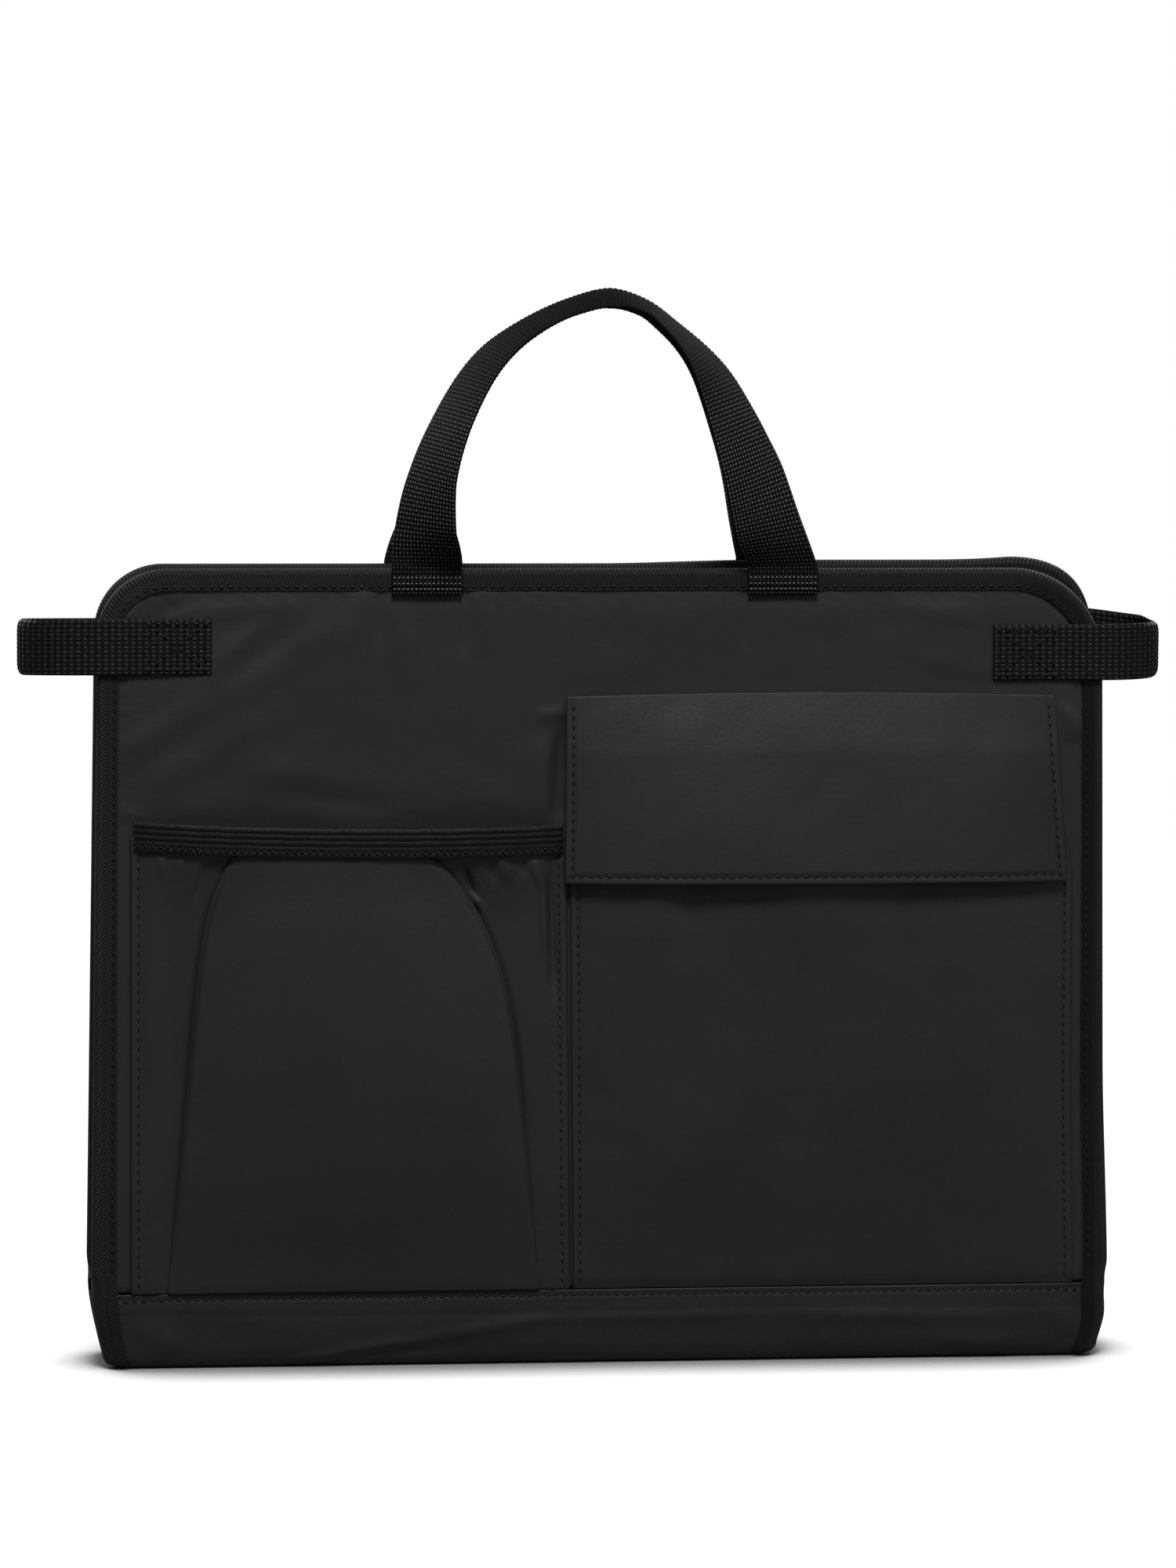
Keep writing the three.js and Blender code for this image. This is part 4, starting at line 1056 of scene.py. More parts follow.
# Patch pocket: its filling, the turned edge, and the slack of its cloth
PATCH_FILL_POWER = 3
PATCH_FLATTENING = 0.62
PATCH_FLAT_START = 150
PATCH_FLAT_RUN = PATCH_RISE - PATCH_FLAT_START
PATCH_EDGE_ROLL = 0.35
PATCH_EDGE_GROOVE = 0.3
PATCH_SEAM_ALLOWANCE = 0.25
PATCH_HEM_RUN = 6
PATCH_SLACK = (70, 0.8)
PATCH_SLACK_RUN = 25
CRINKLE_RUN = 8
PATCH_CRINKLE = (16, 0.12)
PATCH_PUCKER = 0.2
PATCH_PUCKER_PITCH = 8.7
PATCH_PUCKER_RISE = 5
PATCH_PUCKER_REACH = 4
PATCH_PUCKER_START = 40
PATCH_PUCKER_RUN = 80
PATCH_DRAW_IN = 6.5
PATCH_DRAW_RUN = 40

# Flap: its sides spread downwards, its top edge bows up, and its lip stands out and curls back
FLAP_TOP_LEFT, FLAP_LOW_LEFT = -13.6, -14.3
FLAP_TOP_RIGHT, FLAP_LOW_RIGHT = 161.6, 166.2
FLAP_BOW = 1.4
FLAP_SEAM_SHARE = 0.3
FLAP_FILL_POWER = 1.7
FLAP_SLACK = (60, 0.5)
FLAP_SLACK_RUN = 20
FLAP_SLACK_SHARE = 0.4
FLAP_CRINKLE = (15, 0.12)
FLAP_LIP_OUT = 1.8
FLAP_LIP_CURL = 0.5
FLAP_LIP_SHARE = 0.06
FLAP_EDGE_ROLL = 0.1
FLAP_EDGE_GROOVE = 0.35


def edge_relief(distance, roll, groove):
    """Turned edge of sewn cloth: a small roll, then the sunken stitch line"""
    raised = roll * hump(distance - EDGE_ROLL_INSET, EDGE_REACH)
    return raised - groove * hump(distance - STITCH_INSET, EDGE_REACH)


def hem_press(rise):
    """How far a pocket's lower edge is pressed in behind the base seam"""
    return HEM_PRESS * hump(rise - POCKET_HEM_RISE, HEM_PRESS_REACH)


def patch_depth(x, rise):
    """Depth of the patch pocket's front face"""
    share = (x - PATCH_LEFT) / (PATCH_RIGHT - PATCH_LEFT)
    up = (rise - POCKET_HEM_RISE) / (PATCH_RISE - POCKET_HEM_RISE)
    flattened = 1 - PATCH_FLATTENING * ease((rise - PATCH_FLAT_START) / PATCH_FLAT_RUN)
    filled = (1 - (1 - np.clip(up, 0, 1)) ** PATCH_FILL_POWER) * flattened
    standoff = SEAT_GAP + PATCH_STANDOFF * crown(share, SIDE_POWER) * filled - hem_press(rise)
    sides = np.minimum(x - PATCH_LEFT, PATCH_RIGHT - x)
    loose = ease((rise - POCKET_HEM_RISE) / PATCH_HEM_RUN)
    relief = PATCH_SEAM_ALLOWANCE + edge_relief(sides, PATCH_EDGE_ROLL, PATCH_EDGE_GROOVE)
    relief = relief + soft_folds(x, rise, PATCH_FOLDS)
    slack = gentle_waves(x, rise, 11, *PATCH_SLACK)
    slack = slack * ease(sides / PATCH_SLACK_RUN) * ease(rise / PATCH_SLACK_RUN)
    crinkle = gentle_waves(x, rise, 12, *PATCH_CRINKLE) * ease(sides / CRINKLE_RUN)
    pucker = PATCH_PUCKER * np.sin(x * FULL_TURN / PATCH_PUCKER_PITCH)
    pucker = pucker * hump(rise - PATCH_PUCKER_RISE, PATCH_PUCKER_REACH)
    pucker = pucker * ease((x - PATCH_PUCKER_START) / PATCH_PUCKER_RUN)
    return -(standoff + POCKET_CLOTH + relief * loose + slack + crinkle + pucker)


def flap_depth(x, rise, offset):
    """Depth of a layer of the flap at an offset from its inner face"""
    share = (x - FLAP_LEFT) / (FLAP_RIGHT - FLAP_LEFT)
    down = (FLAP_TOP_RISE - rise) / FLAP_HEIGHT
    edge = mix(SEAT_GAP, FLAP_EDGE_STANDOFF, np.clip(down / FLAP_SEAM_SHARE, 0, 1))
    ramp = 1 - (1 - np.clip(down, 0, 1)) ** FLAP_FILL_POWER
    standoff = edge + (FLAP_INNER - FLAP_EDGE_STANDOFF) * crown(share, SIDE_POWER) * ramp
    sides = np.minimum(x - FLAP_LEFT, FLAP_RIGHT - x)
    slack = gentle_waves(x, rise, 23, *FLAP_SLACK)
    slack = slack * ease(sides / FLAP_SLACK_RUN) * ease(down / FLAP_SLACK_SHARE)
    crinkle = gentle_waves(x, rise, 24, *FLAP_CRINKLE) * ease(sides / CRINKLE_RUN)
    curl = FLAP_LIP_CURL * ease((down - 1 + FLAP_LIP_SHARE) / FLAP_LIP_SHARE)
    lip = FLAP_LIP_OUT * np.clip(down, 0, 1) ** 2 - curl
    return -(standoff + offset + slack + crinkle + lip + soft_folds(x, rise, FLAP_FOLDS))


def flap_spot(x, rise):
    """Where a place on the plain flap lies on the real one"""
    share = (x - FLAP_LEFT) / (FLAP_RIGHT - FLAP_LEFT)
    down = (FLAP_TOP_RISE - rise) / FLAP_HEIGHT
    left = mix(FLAP_TOP_LEFT, FLAP_LOW_LEFT, down)
    right = mix(FLAP_TOP_RIGHT, FLAP_LOW_RIGHT, down)
    return mix(left, right, share), rise + FLAP_BOW * crown(share, 2) * (1 - down)


def patch_spot(x, rise):
    """The pocket's top right corner draws in under the flap"""
    share = (x - PATCH_LEFT) / (PATCH_RIGHT - PATCH_LEFT)
    drawn = PATCH_DRAW_IN * share * ease((rise - FLAP_TOP_RISE + FLAP_HEIGHT) / PATCH_DRAW_RUN)
    return x - drawn - POCKET_LEAN * (1 - share) * rise / PATCH_RISE, rise


def pleated_bulge(share):
    """How far the pleated pocket's middle stands out at a share of its height"""
    filled = 1 - (1 - share) ** PLEATED_FILL_POWER
    return PLEATED_BULGE * filled * (1 - PLEATED_MOUTH_FLATTENING * share ** 3)


def pleated_spot(x, rise):
    """The pocket leans a little to the left on its way up, and most at its right edge"""
    share = (x - PLEATED_LEFT) / (PLEATED_RIGHT - PLEATED_LEFT)
    return x - POCKET_LEAN * share * rise / PLEATED_RISE, rise


# Soft folds of the cloth: two ends as X and rise, half width, height
PATCH_FOLDS = [
    ((60, 186), (75, 120), 14, 0.8),
    ((140, 170), (120, 60), 18, 0.7),
    ((20, 30), (60, 90), 16, 0.6),
    ((24, 178), (16, 110), 7, 0.9),
    ((33, 178), (30, 120), 6, -0.7),
    ((150, 140), (160, 100), 7, 0.6),
]
FLAP_FOLDS = [
    ((150, 208), (125, 186), 7, -0.3),
    ((5, 207), (45, 196), 8, 0.3),
    ((60, 200), (110, 196), 9, 0.3),
    ((150, 200), (158, 170), 6, 0.4),
]
POCKET_FOLDS = [
    ((-120, 150), (-132, 60), 12, 0.8),
    ((-70, 158), (-60, 60), 14, 0.7),
    ((-95, 100), (-85, 20), 12, 0.5),
]
POCKET_SIDE_FOLDS = [
    ((-49, 154), (-44.5, 140), 1.5, -1.8),
    ((-45.5, 143), (-42.5, 137), 1.2, 1.3),
    ((-36, 157), (-33, 147), 2.0, 1.1),
    ((-40, 156), (-38.5, 148), 1.6, -0.9),
    ((-29, 156), (-27, 149), 1.6, -0.8),
    ((-24, 155), (-19.8, 144), 1.6, 1.1),
    ((-20, 146), (-19.5, 122), 1.6, 0.8),
    ((-17, 153), (-16.5, 105), 1.7, -1.6),
    ((-26, 138), (-27, 60), 3.5, 0.5),
    ((-150, 157), (-152, 147), 1.5, 0.6),
    ((-157, 157), (-157, 149), 1.5, 0.5),
    ((-140, 157), (-145, 141), 1.8, -0.7),
    ((-160, 150), (-160, 60), 3, 0.5),
    ((-153, 130), (-155, 70), 3, -0.4),
]
FRONT_FOLDS = [
    ((-173, 191), (-140, 213), 4.5, 1.0),
    ((-170, 183), (-128, 208), 4, -0.6),
    ((-168, 176), (-120, 206), 6, 0.6),
    ((-141, 221), (-118, 241), 3.5, 0.9),
    ((-137, 216), (-106, 240), 4, -0.8),
    ((-130, 212), (-96, 238), 5, 0.6),
    ((-150, 241), (-108, 245), 3, 0.6),
    ((-173, 174), (-164, 169), 1.8, 1.1),
    ((-171, 168), (-168, 160), 2.4, -0.9),
    ((-79, 256), (-80, 228), 1.8, -1.1),
    ((-84, 256), (-92, 226), 2.8, 0.9),
    ((-50, 256), (-50, 228), 1.8, -1.0),
    ((-45, 256), (-41, 226), 2.8, 0.8),
    ((-73, 246), (-71, 212), 4, 0.7),
    ((-62, 246), (-60, 214), 4, -0.6),
    ((50, 256), (50, 228), 2, -0.8),
    ((76, 256), (77, 228), 2, -0.8),
    ((-12.8, 205), (-13.6, 156), 3.4, -3.4),
    ((-16.4, 202), (-18.2, 162), 2.1, -2.2),
    ((-24, 205), (-13, 207), 2.2, 1.3),
    ((-21.5, 200), (-22.5, 164), 3, 1.5),
    ((-29, 200), (-33, 164), 5, 0.7),
    ((-120, 178), (-72, 172), 4.5, -0.8),
    ((-128, 188), (-76, 181), 5, 0.6),
    ((-60, 186), (-30, 176), 6, 0.6),
    ((135, 240), (100, 244), 4, 0.7),
    ((138, 218), (112, 226), 4, 0.8),
    ((160, 212), (120, 220), 4, -0.7),
    ((168, 205), (168, 180), 2.4, 0.7),
    ((164, 209), (173, 197), 2.2, 1.5),
    ((166, 197), (173, 186), 2, -1.6),
]
REAR_FOLDS = [
    ((-120, 200), (-60, 60), 16, 0.9),
    ((90, 210), (40, 70), 18, 0.8),
    ((10, 120), (20, 20), 14, 0.6),
    ((-78, 248), (-82, 226), 3, -1.0),
    ((-50, 248), (-46, 226), 3, -0.9),
    ((50, 248), (46, 226), 3, -0.9),
    ((78, 248), (82, 226), 3, -1.0),
    ((-170, 200), (-130, 230), 5, 0.9),
    ((170, 200), (130, 230), 5, 0.9),
    ((-165, 10), (-110, 50), 9, 0.8),
    ((165, 10), (110, 50), 9, 0.8),
]


SHEET_SIDE_REACH = 6
SHEET_END_REACH = 5
SHEET_EDGE_STEP = 0.5
SHEET_STEP = 1.8


def flat_sheet(name, left, right, low, high, depth, thickness, spot):
    """Sewn-on cloth with a depth at each place, and finer steps at its edges"""
    x = stops(left, right, SHEET_SIDE_REACH, SHEET_EDGE_STEP, SHEET_STEP)[None, :]
    rise = stops(low, high, SHEET_END_REACH, SHEET_EDGE_STEP, SHEET_STEP)[:, None]
    x, rise = np.broadcast_arrays(x, rise)
    placed_x, placed_rise = spot(x, rise)
    outer = from_front(placed_x, depth(x, rise), placed_rise)
    inner = outer - np.array([0, -math.cos(LEAN), math.sin(LEAN)]) * thickness
    return cloth_between(name, outer, inner, np.stack([x, rise], axis=-1))


# Pleated pocket, across: inset and height of its turned edge, the rolled layers, and points in a run
PLEAT_EDGE_RELIEF = [(0, -0.1), (0.7, 0.45), (1.6, 0.3), (STITCH_INSET, 0), (4.2, 0.3)]
PLEAT_SIDE_RELIEF = 0.5
PLEAT_ROLL_LAYERS = (1.3, 2.3)
PLEAT_SIDE_POINTS = 22
PLEAT_MIDDLE_POINTS = 24
MIDDLE_POWER = 2.2
LOOSE_POWER = 8

# Pleated pocket, upwards: its steps, and the puckers, slack and valleys of its cloth
PLEATED_EDGE_REACH = 8
PLEATED_EDGE_STEP = 0.8
PLEATED_STEP = 2
MOUTH_PUCKER = 0.35
MOUTH_PUCKER_PITCH = 9.3
MOUTH_PUCKER_DRIFT = 1.7
MOUTH_PUCKER_DRIFT_PITCH = 19
MOUTH_PUCKER_DROP = 8
MOUTH_PUCKER_REACH = 14
PLEATED_SLACK = (65, 0.8)
PLEATED_HEM_SHARE = 0.2
SIDE_HEM_SHARE = 0.15
SIDE_FOLD_RUN = 3
COVER_DROP = 0.8
COVER_START = 2
COVER_RUN = 12
GATHER_SIDE_SHARE = 0.06
VALLEY_SHARE = 0.7
VALLEY_REACH = 2.2
PLEATED_HEM_PRESS_SHARE = 0.7


def pleat_side(edge, fold, lift, pressed):
    """Line from a sewn side edge over the pleat's three layers to the front of its fold"""
    inwards = np.sign(fold - edge)
    flat = SEAT_GAP + POCKET_CLOTH / 2
    hidden = fold + inwards * PLEAT_LAP
    sewn = edge + inwards * PLEATED_SEWN_EDGE

    def layer(count):
        return -(flat + lift + count * LAYER_PITCH * pressed)

    seam = -flat - PLEAT_SIDE_RELIEF
    shares = np.linspace(0, 1, PLEAT_SIDE_POINTS)
    return [
        *[[edge + inwards * inset, -flat - height] for inset, height in PLEAT_EDGE_RELIEF],
        *[[mix(sewn, fold, share), mix(seam, layer(0), share)] for share in shares],
        [hidden, layer(0)],
        [hidden + inwards * PLEAT_TURN, layer(HALF)],
        [hidden, layer(1)],
        [mix(hidden, fold, HALF), layer(1)],
        [fold, layer(1)],
        *[[fold - inwards * PLEAT_ROLL, layer(count)] for count in PLEAT_ROLL_LAYERS],
        [fold, layer(PLEAT_FRONT_LAYER)],
    ]


def pleated_pocket(name):
    """Pocket with a pleat at each side, gathered to the elastic at its mouth"""
    rows = []
    for rise in stops(POCKET_HEM_RISE, PLEATED_RISE, PLEATED_EDGE_REACH, PLEATED_EDGE_STEP, PLEATED_STEP):
        share = (rise - POCKET_HEM_RISE) / (PLEATED_RISE - POCKET_HEM_RISE)
        lift = PLEAT_LIFT * share
        left_shoulder = PLEAT_LEFT_SHOULDER * share ** PLEAT_LEFT_POWER
        right_shoulder = PLEAT_RIGHT_SHOULDER * share ** PLEAT_RIGHT_POWER
        left_fold = PLEAT_LEFT_FOLD + PLEAT_LEFT_DRIFT * share + left_shoulder
        right_fold = PLEAT_RIGHT_FOLD - PLEAT_RIGHT_DRIFT * share - right_shoulder
        gathered = ease(1 - (PLEATED_RISE - rise) / POCKET_MOUTH_REACH)
        pressed = mix(PLEAT_HEM_PRESS, 1, ease((rise - POCKET_HEM_RISE) / PLEAT_HEM_REACH))
        pressed = pressed * mix(1, PLEAT_MOUTH_PRESS, ease(1 - (PLEATED_RISE - rise) / PLEAT_MOUTH_REACH))
        left = pleat_side(PLEATED_LEFT, left_fold, lift, pressed)
        right = pleat_side(PLEATED_RIGHT, right_fold, lift, pressed)[::-1]
        across = np.linspace(0, 1, PLEAT_MIDDLE_POINTS + 2)[1:-1]
        x = mix(left_fold, right_fold, across)
        mouth = hump(PLEATED_RISE - MOUTH_PUCKER_DROP - rise, MOUTH_PUCKER_REACH)
        drift = MOUTH_PUCKER_DRIFT * np.sin(x / MOUTH_PUCKER_DRIFT_PITCH)
        puckers = MOUTH_PUCKER * mouth * np.sin(x * FULL_TURN / MOUTH_PUCKER_PITCH + drift)
        slack = soft_folds(x, rise, POCKET_FOLDS) + gentle_waves(x, rise, 31, *PLEATED_SLACK)
        slack = slack * ease(share / PLEATED_HEM_SHARE) * (1 - gathered)
        loose = (puckers + slack) * crown(across, LOOSE_POWER)
        depth = left[-1][1] - pleated_bulge(share) * crown(across, MIDDLE_POWER) - loose
        line = rounded_line(np.array(left + np.stack([x, depth], axis=-1).tolist() + right), 2)
        layers = PLEAT_FRONT_LAYER * LAYER_PITCH * pressed
        plain_x = np.concatenate([[PLEATED_LEFT], x, [PLEATED_RIGHT]])
        plain_depth = np.concatenate([[left[0][1]], depth + layers, [right[-1][1]]])
        width_share = (line[:, 0] - PLEATED_LEFT) / (PLEATED_RIGHT - PLEATED_LEFT)
        beside = np.maximum(left_fold - line[:, 0], line[:, 0] - right_fold)
        covered = layers * (1 - COVER_DROP * ease((beside - COVER_START) / COVER_RUN))
        behind_elastic = elastic_depth(width_share) + LAYER_GAP + POCKET_CLOTH / 2 + covered
        drawn_out = behind_elastic - np.interp(line[:, 0], plain_x, plain_depth)
        side_share = np.minimum(width_share, 1 - width_share)
        line[:, 1] += drawn_out * gathered * ease(side_share / GATHER_SIDE_SHARE)
        loose_side = ease((beside - 1) / SIDE_FOLD_RUN) * ease(share / SIDE_HEM_SHARE)
        line[:, 1] -= soft_folds(line[:, 0], rise, POCKET_SIDE_FOLDS) * loose_side
        valley = np.minimum(lift * VALLEY_SHARE, PLEAT_VALLEY) * hump(beside - HALF, VALLEY_REACH)
        line[:, 1] += valley * (beside > 0) * (1 - gathered)
        placed_x, placed_rise = pleated_spot(line[:, 0], rise)
        depths = line[:, 1] + hem_press(rise) * PLEATED_HEM_PRESS_SHARE
        rows.append(from_front(placed_x, depths, placed_rise))
    return cloth_round(name, np.array(rows), POCKET_CLOTH)


def elastic_depth(share):
    """Depth of the elastic's back: flat at its sewn ends, out over the filled pocket between"""
    edge = SEAT_GAP + POCKET_CLOTH + LAYER_GAP
    layers = PLEAT_FRONT_LAYER * LAYER_PITCH * PLEAT_MOUTH_PRESS
    middle = edge + PLEAT_LIFT + layers + pleated_bulge(1) + LAYER_GAP
    return -mix(edge, middle, crown(share, ELASTIC_POWER))


# Elastic: the line of its top, its raised cords, their fine gathers and a slow wobble
ELASTIC_SAG = 1.4
ELASTIC_LEFT_LIFT = 3.0
ELASTIC_RIGHT_LIFT = 1.2
ELASTIC_COLUMNS = 420
ELASTIC_ROWS = 41
ELASTIC_FACE_SHARE = 0.75
ELASTIC_CORDS = 5
ELASTIC_CORD_POWER = 0.8
ELASTIC_CORD_HEIGHT = 0.25
ELASTIC_GATHER = 0.1
ELASTIC_GATHER_PITCH = 1.15
ELASTIC_WOBBLE = 0.35
ELASTIC_WOBBLE_PITCH = 13
ELASTIC_WOBBLE_DRIFT = 2
ELASTIC_WOBBLE_DRIFT_PITCH = 21
ELASTIC_WOBBLE_POWER = 6
WOBBLE_UP_SHARE = 0.2
WOBBLE_FACE_SHARE = 0.4
WOBBLE_BACK_SHARE = 0.3

# Painted light and shade along a handle from its ends: darker sewn tabs, a painted highlight on the legs, and
# painted shade over the top of the arch, where the key lamp would light it
HANDLE_PAINTED_LIGHT = [
    (0, 0.25),
    (9.6, 0.25),
    (18, 0.5),
    (30, 0.9),
    (42, 1.0),
    (66, 1.0),
    (84, 0.42),
    (104, 0.13),
    (140, 0.08),
]

# Brightness across the elastic from its lower to its upper selvage: stripes whose near-black lines lie in the
# grooves between its cords as painted shade, brightest along the top selvage
ELASTIC_STRIPES_AND_GROOVE_SHADE = [
    (0, 0.6),
    (0.5, 0.3),
    (1.0, 0.5),
    (3.1, 0.5),
    (3.7, 0.02),
    (4.5, 0.02),
    (5.0, 0.55),
    (5.6, 0.45),
    (6.0, 0.02),
    (6.6, 0.02),
    (7.1, 0.6),
    (7.7, 0.45),
    (8.1, 0.02),
    (8.7, 0.02),
    (9.3, 1.0),
    (10.4, 1.0),
]


def elastic_top(share):
    """Rise of the elastic's top edge, which hangs a little between its raised ends"""
    lifted = ELASTIC_TOP_RISE + mix(ELASTIC_LEFT_LIFT, ELASTIC_RIGHT_LIFT, share)
    return lifted - ELASTIC_SAG * crown(share, 2)


def elastic_band(name):
    """Ribbed elastic along the pleated pocket's mouth"""
    left = PLEATED_LEFT + ELASTIC_SIDE_LAP
    right = PLEATED_RIGHT - ELASTIC_SIDE_LAP
    share = np.linspace(0, 1, ELASTIC_COLUMNS)[None, :]
    height = np.linspace(0, 1, ELASTIC_ROWS)[:, None]
    share, height = np.broadcast_arrays(share, height)
    x = mix(left, right, share)
    cords = np.abs(np.sin(math.pi * height * ELASTIC_CORDS)) ** ELASTIC_CORD_POWER
    gathers = ELASTIC_GATHER * np.sin(x * FULL_TURN / ELASTIC_GATHER_PITCH) * cords
    drift = ELASTIC_WOBBLE_DRIFT * np.sin(x / ELASTIC_WOBBLE_DRIFT_PITCH)
    wobble = ELASTIC_WOBBLE * np.sin(x * FULL_TURN / ELASTIC_WOBBLE_PITCH + drift)
    wobble = wobble * crown(share, ELASTIC_WOBBLE_POWER)
    rise = elastic_top(share) - ELASTIC_WIDTH * (1 - height) + WOBBLE_UP_SHARE * wobble
    back = elastic_depth(share)
    relief = ELASTIC_CORD_HEIGHT * cords + gathers + WOBBLE_FACE_SHARE * wobble
    placed_x = pleated_spot(x, rise)[0]
    outer = from_front(placed_x, back - ELASTIC_THICKNESS * ELASTIC_FACE_SHARE - relief, rise)
    inner = from_front(placed_x, back - WOBBLE_BACK_SHARE * wobble, rise)
    uvs = np.stack([x, height * ELASTIC_WIDTH], axis=-1)
    return cloth_between(name, outer, inner, uvs)


GRIP_TAPE_COLUMNS = 161
GRIP_TAPE_ROWS = 57


def grip_tape(name, inner_depth, seed, relief):
    """Half of the flap's closure, with a fine random fuzz of a given height"""
    x = np.linspace(-GRIP_TAPE_LENGTH / 2, GRIP_TAPE_LENGTH / 2, GRIP_TAPE_COLUMNS)[None, :]
    z = np.linspace(-GRIP_TAPE_WIDTH / 2, GRIP_TAPE_WIDTH / 2, GRIP_TAPE_ROWS)[:, None]
    x, z = np.broadcast_arrays(x, z)
    middle_x = (FLAP_LEFT + FLAP_RIGHT) / 2
    middle_rise = FLAP_TOP_RISE - FLAP_HEIGHT + GRIP_TAPE_ABOVE_HEM + GRIP_TAPE_WIDTH / 2
    fuzz = np.random.default_rng(seed).uniform(0, relief, x.shape)
    outer = from_front(middle_x + x, -inner_depth - GRIP_TAPE_THICKNESS + fuzz, middle_rise + z)
    inner = from_front(middle_x + x, -inner_depth - fuzz, middle_rise + z)
    return cloth_between(name, outer, inner)


# Materials: shader groups shared by several finishes

def new_group(name, kind, inputs, outputs):
    """Empty node group with its sockets"""
    tree = bpy.data.node_groups.new(name, kind)
    for label, socket, value in inputs:
        made = tree.interface.new_socket(name=label, in_out="INPUT", socket_type=socket)
        if value is not None:
            made.default_value = value
    for label, socket in outputs:
        tree.interface.new_socket(name=label, in_out="OUTPUT", socket_type=socket)
    return tree, tree.nodes.new("NodeGroupInput"), tree.nodes.new("NodeGroupOutput")


def add_node(tree, kind, inputs=(), **settings):
    """Node whose inputs are given as values or as sockets to link"""
    node = tree.nodes.new(kind)
    for key, value in settings.items():
        setattr(node, key, value)
    for key, value in dict(inputs).items():
        if isinstance(value, bpy.types.NodeSocket):
            tree.links.new(value, node.inputs[key])
        else:
            node.inputs[key].default_value = value
    return node


def maths(tree, operation, *values):
    """Output of one maths node"""
    return add_node(tree, "ShaderNodeMath", dict(enumerate(values)), operation=operation).outputs[0]


def ink(red, green, blue):
    """Linear colour from the 8-bit values that it shows as"""
    return tuple(((c / 255 + 0.055) / 1.055) ** 2.4 for c in (red, green, blue)) + (1,)


def make_yarn_group():
    """Plain weave: the height of crossing yarns at a place on the cloth"""
    tree, given, out = new_group(
        "crossing yarns", "ShaderNodeTree",
        [("Place", "NodeSocketVector", None), ("Across", "NodeSocketFloat", 0.0005),
         ("Along", "NodeSocketFloat", 0.0005), ("Under", "NodeSocketFloat", 0.5)],
        [("Height", "NodeSocketFloat")],
    )
    place = add_node(tree, "ShaderNodeSeparateXYZ", {"Vector": given.outputs["Place"]})
    waves = []
    for axis, pitch in (("X", "Across"), ("Y", "Along")):
        turn = maths(tree, "DIVIDE", place.outputs[axis], given.outputs[pitch])
        waves.append(maths(tree, "SINE", maths(tree, "MULTIPLY", turn, math.pi)))
    wave = maths(tree, "MULTIPLY", *waves)
    over = maths(tree, "GREATER_THAN", wave, 0)
    share = maths(tree, "MAXIMUM", over, given.outputs["Under"])
    height = maths(tree, "MULTIPLY", maths(tree, "ABSOLUTE", wave), share)
    tree.links.new(height, out.inputs["Height"])
    return tree


def make_twill_group():
    """Twill: slanting ribs that turn back at every band of the tape"""
    tree, given, out = new_group(
        "slanting ribs", "ShaderNodeTree",
        [("Place", "NodeSocketVector", None), ("Pitch", "NodeSocketFloat", 0.0009),
         ("Band", "NodeSocketFloat", 0.004), ("Slant", "NodeSocketFloat", 1)],
        [("Height", "NodeSocketFloat")],
    )
    place = add_node(tree, "ShaderNodeSeparateXYZ", {"Vector": given.outputs["Place"]})
    folded = maths(tree, "PINGPONG", place.outputs["X"], given.outputs["Band"])
    slanted = maths(tree, "MULTIPLY", folded, given.outputs["Slant"])
    run = maths(tree, "ADD", place.outputs["Y"], slanted)
    turn = maths(tree, "MULTIPLY", maths(tree, "DIVIDE", run, given.outputs["Pitch"]), FULL_TURN)
    wave = maths(tree, "MULTIPLY_ADD", maths(tree, "SINE", turn), HALF, HALF)
    tree.links.new(wave, out.inputs["Height"])
    return tree


def make_tone_group():
    """Uneven tone of dyed cloth: slow cloudy patches and fine fibre specks"""
    tree, given, out = new_group(
        "uneven tone", "ShaderNodeTree",
        [("Place", "NodeSocketVector", None), ("Patch scale", "NodeSocketFloat", 25),
         ("Fibre scale", "NodeSocketFloat", 700), ("Fibre share", "NodeSocketFloat", 0.5)],
        [("Tone", "NodeSocketFloat")],
    )
    patches = add_node(tree, "ShaderNodeTexNoise", {
        "Vector": given.outputs["Place"], "Scale": given.outputs["Patch scale"], "Detail": 3})
    fibres = add_node(tree, "ShaderNodeTexNoise", {
        "Vector": given.outputs["Place"], "Scale": given.outputs["Fibre scale"], "Detail": 2})
    tone = add_node(tree, "ShaderNodeMix", {
        "Factor": given.outputs["Fibre share"], 2: patches.outputs["Fac"], 3: fibres.outputs["Fac"]})
    spread = add_node(tree, "ShaderNodeMapRange", {
        "Value": tone.outputs[0], "From Min": 0.3, "From Max": 0.7})
    tree.links.new(spread.outputs["Result"], out.inputs["Tone"])
    return tree


yarn_group = make_yarn_group()
twill_group = make_twill_group()
tone_group = make_tone_group()


ROUGHNESS_SPREAD = 0.1


